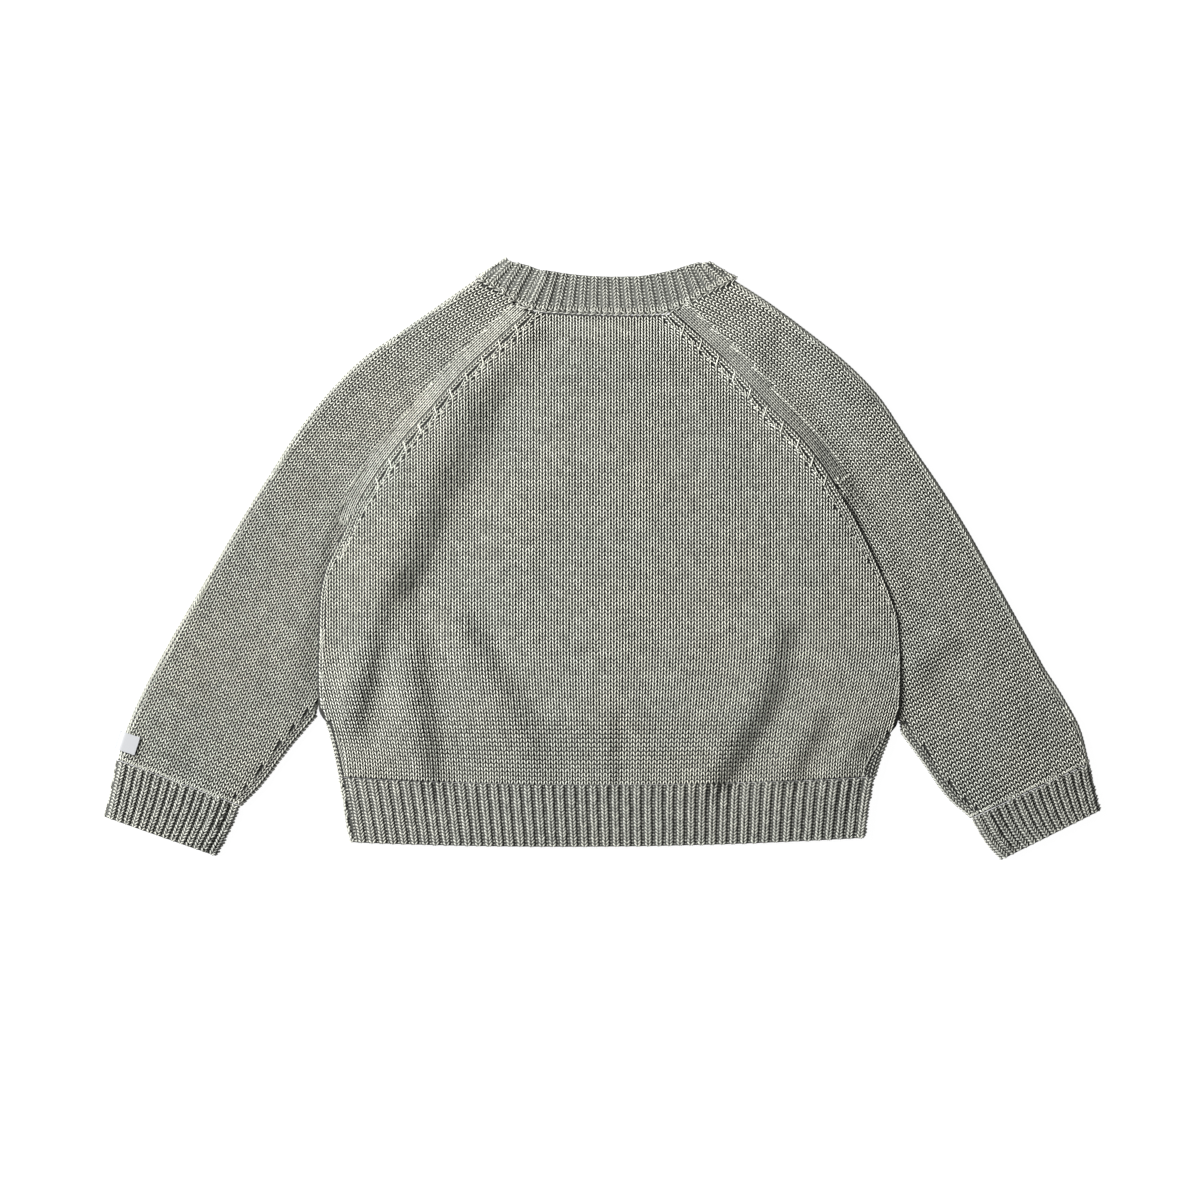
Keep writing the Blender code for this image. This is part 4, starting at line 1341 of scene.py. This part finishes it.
# %% The cuffs
LEFT_CUFF = table(
    TUBE_COLUMNS,
    (-257.4, -106.9, -191.3, -131.6, CUFF_LEVEL),
    (-259.4, -117.0, -194.6, -140.0, CUFF_LEVEL),
    (-261.7, -127.5, -199.2, -149.6, CUFF_LEVEL),
    (-263.9, -136.8, -203.8, -158.0, CUFF_LEVEL),
)
RIGHT_CUFF = table(
    TUBE_COLUMNS,
    (258.3, -108.9, 195.4, -138.1, CUFF_LEVEL),
    (260.0, -117.5, 199.8, -146.2, CUFF_LEVEL),
    (262.0, -126.0, 205.2, -154.2, CUFF_LEVEL),
    (263.9, -133.4, 211.0, -159.8, CUFF_LEVEL),
)
CUFF_LOOK = {
    "relief": 0.55, "knit_look": {**RIB_KNIT, "width": 1.25, "length": 2.4, "spread": 0.85}
}
left_cuff, right_cuff = (
    ribbed(name, tube_grid(columns, 11, CUFF_LEVEL, RIB), CUFF_RIBS, seed, **CUFF_LOOK)
    for name, columns, seed in (("left_cuff", LEFT_CUFF, 15), ("right_cuff", RIGHT_CUFF, 17))
)

# %% [markdown]
# ## The neckband
# The neckband is one ribbed strip that goes all round the neck. It runs along the back's neck,
# turns under at the right shoulder, follows the lower neck of the front and comes back up at the
# left shoulder, where its two ends are lapped.

# %% The neckband's tables
BAND_COLUMNS = "seam_x seam_y free_x free_y z"
BAND_BACK = table(
    BAND_COLUMNS,
    (-42.2, 132.8, -31.3, 152.4, 6.7),
    (-33.0, 130.9, -26.0, 151.6, 5.9),
    (-21.0, 130.0, -17.5, 150.4, 5.0),
    (-8.0, 129.4, -7.0, 149.4, 4.8),
    (6.0, 129.0, 5.0, 148.9, 4.8),
    (20.0, 129.0, 17.5, 149.1, 4.8),
    (32.0, 129.6, 28.0, 150.5, 4.8),
    (42.0, 133.0, 37.0, 152.4, 4.8),
    (52.0, 138.2, 45.0, 154.9, 4.8),
    (61.0, 142.9, 51.0, 156.6, 4.8),
)
BAND_FRONT = table(
    BAND_COLUMNS,
    (59.2, 134.2, 47.0, 143.4, RIB / 2),
    (50.4, 119.8, 38.0, 131.4, RIB / 2),
    (36.5, 108.0, 26.5, 122.4, RIB / 2),
    (19.5, 98.6, 14.0, 116.2, RIB / 2),
    (0.0, 94.8, 0.5, 114.2, RIB / 2),
    (-19.5, 98.4, -13.0, 116.2, RIB / 2),
    (-37.0, 107.6, -25.5, 122.4, RIB / 2),
    (-51.6, 120.4, -37.0, 131.6, RIB / 2),
    (-58.2, 134.0, -44.4, 143.6, RIB / 2),
)
BAND_SHOULDER = table(
    BAND_COLUMNS,
    (-58.6, 143.8, -47.6, 156.6, 5.4),
    (-50.0, 138.0, -40.5, 155.2, 5.3),
    (-45.2, 134.8, -35.2, 153.3, 4.7),
    (-40.8, 131.8, -30.2, 151.6, 3.95),
)
# Where the band turns under: each fold line's ends at the seam and at the free edge.
BAND_FOLDS = {
    "right": ((70.8, 149.3), (56.6, 157.8)),
    "left": ((-66.4, 149.6), (-51.0, 159.8)),
}
BAND_STEPS = 7


# %% The neckband's cloth
def band_rows(columns, count, way):
    return [
        stretch((seam_x, seam_y, z), (free_x, free_y, z), BAND_STEPS, way)
        for seam_x, seam_y, free_x, free_y, z in finer(columns, count)
    ]


def band_turn(side, above, direction):
    """The rows round one of the neckband's folds, downwards (1) or upwards (-1)."""
    seam, free = (np.array(end) for end in BAND_FOLDS[side])
    along = unit(free - seam)
    outward = np.array([along[1], -along[0]]) * HAND[side]
    reach = (above + RIB / 2) / 2
    ends = [turn(end - outward * reach, outward, RIB / 2, above, TURN) for end in (seam, free)]
    at_seam, at_free = (run[::direction] for run in ends)
    share = np.linspace(0.0, 1.0, BAND_STEPS + 1)[:, None]
    return [start * (1 - share) + stop * share for start, stop in zip(at_seam, at_free)]


def neckband_grid():
    rows = band_rows(BAND_BACK, 46, UP)
    rows += band_turn("right", BAND_BACK["z"][-1], 1)
    rows += band_rows(BAND_FRONT, 52, -UP)
    rows += band_turn("left", BAND_SHOULDER["z"][0], -1)
    rows += band_rows(BAND_SHOULDER, 12, UP)
    return np.array(rows).transpose(1, 0, 2)


# The neckband's ground is painted dark: painted shade between its strands.
BAND_PAINTED_SHADE_GROUND = knit_ground("cotton_band_ground_painted_shade", "#4E4F4B", "#353632", 1.4)
band_grid = neckband_grid()
BAND_LOOK = {
    "relief": 0.2,
    "knit_look": {**RIB_KNIT, "width": 1.2, "height": 1.15, "length": 2.4, "spread": 0.85},
    "purl_look": {**RIB_PURL, "height": 0.8, "length": 2.4},
    "ends": RIB_STEPS,
    "ground": BAND_PAINTED_SHADE_GROUND,
}
neckband = ribbed("neckband", band_grid, BAND_RIBS, 19, **BAND_LOOK)


# %% Where the neckband is linked on
def seam_stitches(grid, step, above):
    """Places along the neckband's seam, a little above it, with the way across the seam."""
    places, out, _ = walk(grid[0], step)
    across = unit(grid[-1, :, :3] - grid[0, :, :3])
    known, at = (np.linspace(0.0, 1.0, len(rows)) for rows in (across, places))
    across = unit(at_run(across, known, at))
    return places + across * above, out, across


LINK_STEP, LINK_ABOVE = 1.62, 2.3
CHAIN_STEP, CHAIN_ABOVE = 3.25, 0.5
places, out, across = seam_stitches(band_grid, LINK_STEP, LINK_ABOVE)
links = spots(places, out, across)
places, out, across = seam_stitches(band_grid, CHAIN_STEP, CHAIN_ABOVE)
chain = spots(places, out, np.cross(out, across))
LINK_STRAND = {"width": 0.8, "height": 1.7, "length": 2.9}
# The chain is in the darker yarn: painted shade.
CHAIN = {
    "width": 1.25, "height": 2.4, "length": 3.8, "spread": 0.7, "lean": 20.0, "yarn": PAINTED_SHADE_YARN
}
link_strands = lay("neck_link_strands", links, neckband[0], **LINK_STRAND, seed=21)
link_chain = lay("neck_link_chain", chain, neckband[0], **CHAIN, seed=22)
neckband = (*neckband, link_strands, link_chain)

# %% [markdown]
# ## Small parts
# A folded label is sewn into the left sleeve's outer edge. It is plain white tape: a name belongs
# to a maker, so the face is left bare.

# %% The label
def woven_tape():
    made, tree = blank_material("white_woven_tape")
    place = add(tree, "ShaderNodeTexCoord").outputs["Object"]
    weave = {"Vector": place, "Scale": 900.0}
    threads = add(tree, "ShaderNodeTexWave", weave, bands_direction="Y").outputs["Fac"]
    normal = bump(tree, threads, 0.25, 0.0001)
    principled(tree, {"Base Color": linear("#737476"), "Roughness": 0.6, "Normal": normal})
    return made


TAPE = 0.8
LABEL_TOP = np.array([-254.2, -91.6])
LABEL_FOOT = np.array([-257.3, -101.0])
LABEL_REACH = 7.5
LABEL_TURN = math.radians(115)


def label_grid():
    along = unit(LABEL_FOOT - LABEL_TOP)
    outward = np.array([along[1], -along[0]])
    radius = (SLEEVE_LEVEL - LYING) / 2
    clear = CLOTH / 2 + SEAM + TAPE / 2
    rows = []
    for share in np.linspace(0.0, 1.0, 13):
        edge = LABEL_TOP + (LABEL_FOOT - LABEL_TOP) * share
        centre = edge - outward * (radius + CLOTH / 2)
        inside = centre - outward * LABEL_REACH
        low, high = SLEEVE_LEVEL + clear, SLEEVE_LEVEL + SLEEVE_CROWN + clear
        top = stretch((*inside, high), (*centre, low), 10)
        angle = np.linspace(0.0, LABEL_TURN, 11)[:, None]
        ways = np.hstack([np.sin(angle) * outward, np.cos(angle)])
        round_edge = np.array([*centre, LYING + radius]) + ways * (radius + clear)
        rows.append(np.vstack([top[:-1], np.hstack([round_edge, ways])]))
    return np.array(rows)


label = wall("label_tape", label_grid(), TAPE / 2, -TAPE / 2, woven_tape())

# %% [markdown]
# ## Light and camera
# The sweater lies on a pale surface under soft daylight. Most light comes from the upper left at a
# moderate angle, so the stitches and folds cast small shadows to the lower right.

# %% The surface it lies on
BOARD_REACH = 1.6
BOARD_GLOW = 0.96


def smooth_board():
    made, tree = blank_material("white_studio_board")
    glow = {"Emission Color": linear("#FFFFFF"), "Emission Strength": BOARD_GLOW}
    principled(tree, {"Base Color": linear("#4A4A4A"), "Roughness": 0.9, **glow})
    return made


board = bpy.data.meshes.new("board")
corners = [(x * BOARD_REACH, y * BOARD_REACH, 0) for x, y in ((-1, -1), (1, -1), (1, 1), (-1, 1))]
board.from_pydata(corners, [], [(0, 1, 2, 3)])
board.materials.append(smooth_board())
link("board", board)

# %% Light
world = bpy.data.worlds.new("soft_daylight")
world.use_nodes = True
sky = world.node_tree.nodes["Background"].inputs
sky["Color"].default_value = linear("#FAFAFA")
sky["Strength"].default_value = 0.47
bpy.context.scene.world = world


def lamp(name, place, width, power):
    """A large square lamp that faces the sweater."""
    light = bpy.data.lights.new(name, "AREA")
    light.size = width
    light.energy = power
    made = link(name, light)
    made.location = place
    made.rotation_euler = (-made.location).to_track_quat("-Z", "Y").to_euler()
    return made


lamp("window_light", place=(-1.6, 0.5, 1.2), width=0.7, power=170.0)

# %% Camera
CAMERA_HEIGHT = 3.0
VIEW_WIDTH = 0.636
VIEW_MIDDLE = (-0.0012, -0.0222)

camera = bpy.data.cameras.new("camera")
camera.sensor_width = 36.0
camera.lens = camera.sensor_width * CAMERA_HEIGHT / VIEW_WIDTH
camera_object = link("camera", camera)
camera_object.location = (*VIEW_MIDDLE, CAMERA_HEIGHT)
bpy.context.scene.camera = camera_object
bpy.context.scene.view_settings.view_transform = "Standard"


# %% [markdown]
# ## What stands for what
# Each shell replaces its solid, which is hidden, and goes onto the root with its strands. The table
# also gives each sheet of cloth its finish and the size that it was cut to, a sleeve's all round
# its tube, which nothing here reads.

# %% Sheets
# node, shell and strands, slot, flat width and length in metres, flat area in square metres
CLOTHS = (
    ("back_panel", back, "plain_knit", (0.306, 0.251), 0.0607),
    ("front_panel", front, "plain_knit", (0.308, 0.240), 0.0574),
    ("left_sleeve", left_sleeve, "plain_knit", (0.175, 0.320), 0.0367),
    ("right_sleeve", right_sleeve, "plain_knit", (0.175, 0.320), 0.0367),
    ("back_hem_rib", back_hem, "ribbed_knit", (0.273, 0.033), 0.00874),
    ("front_hem_rib", front_hem, "ribbed_knit", (0.289, 0.033), 0.0094),
    ("left_cuff", left_cuff, "ribbed_knit", (0.137, 0.031), 0.00394),
    ("right_cuff", right_cuff, "ribbed_knit", (0.137, 0.027), 0.00325),
    ("neckband", neckband, "ribbed_knit", (0.265, 0.0215), 0.00545),
    ("sleeve_label", (label,), "woven_tape", (0.0101, 0.0146), 0.000144),
)
for node, (shell, *strands), finish, flat, area in CLOTHS:
    for piece in (shell, *strands):
        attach(piece, "root")
    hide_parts(node)
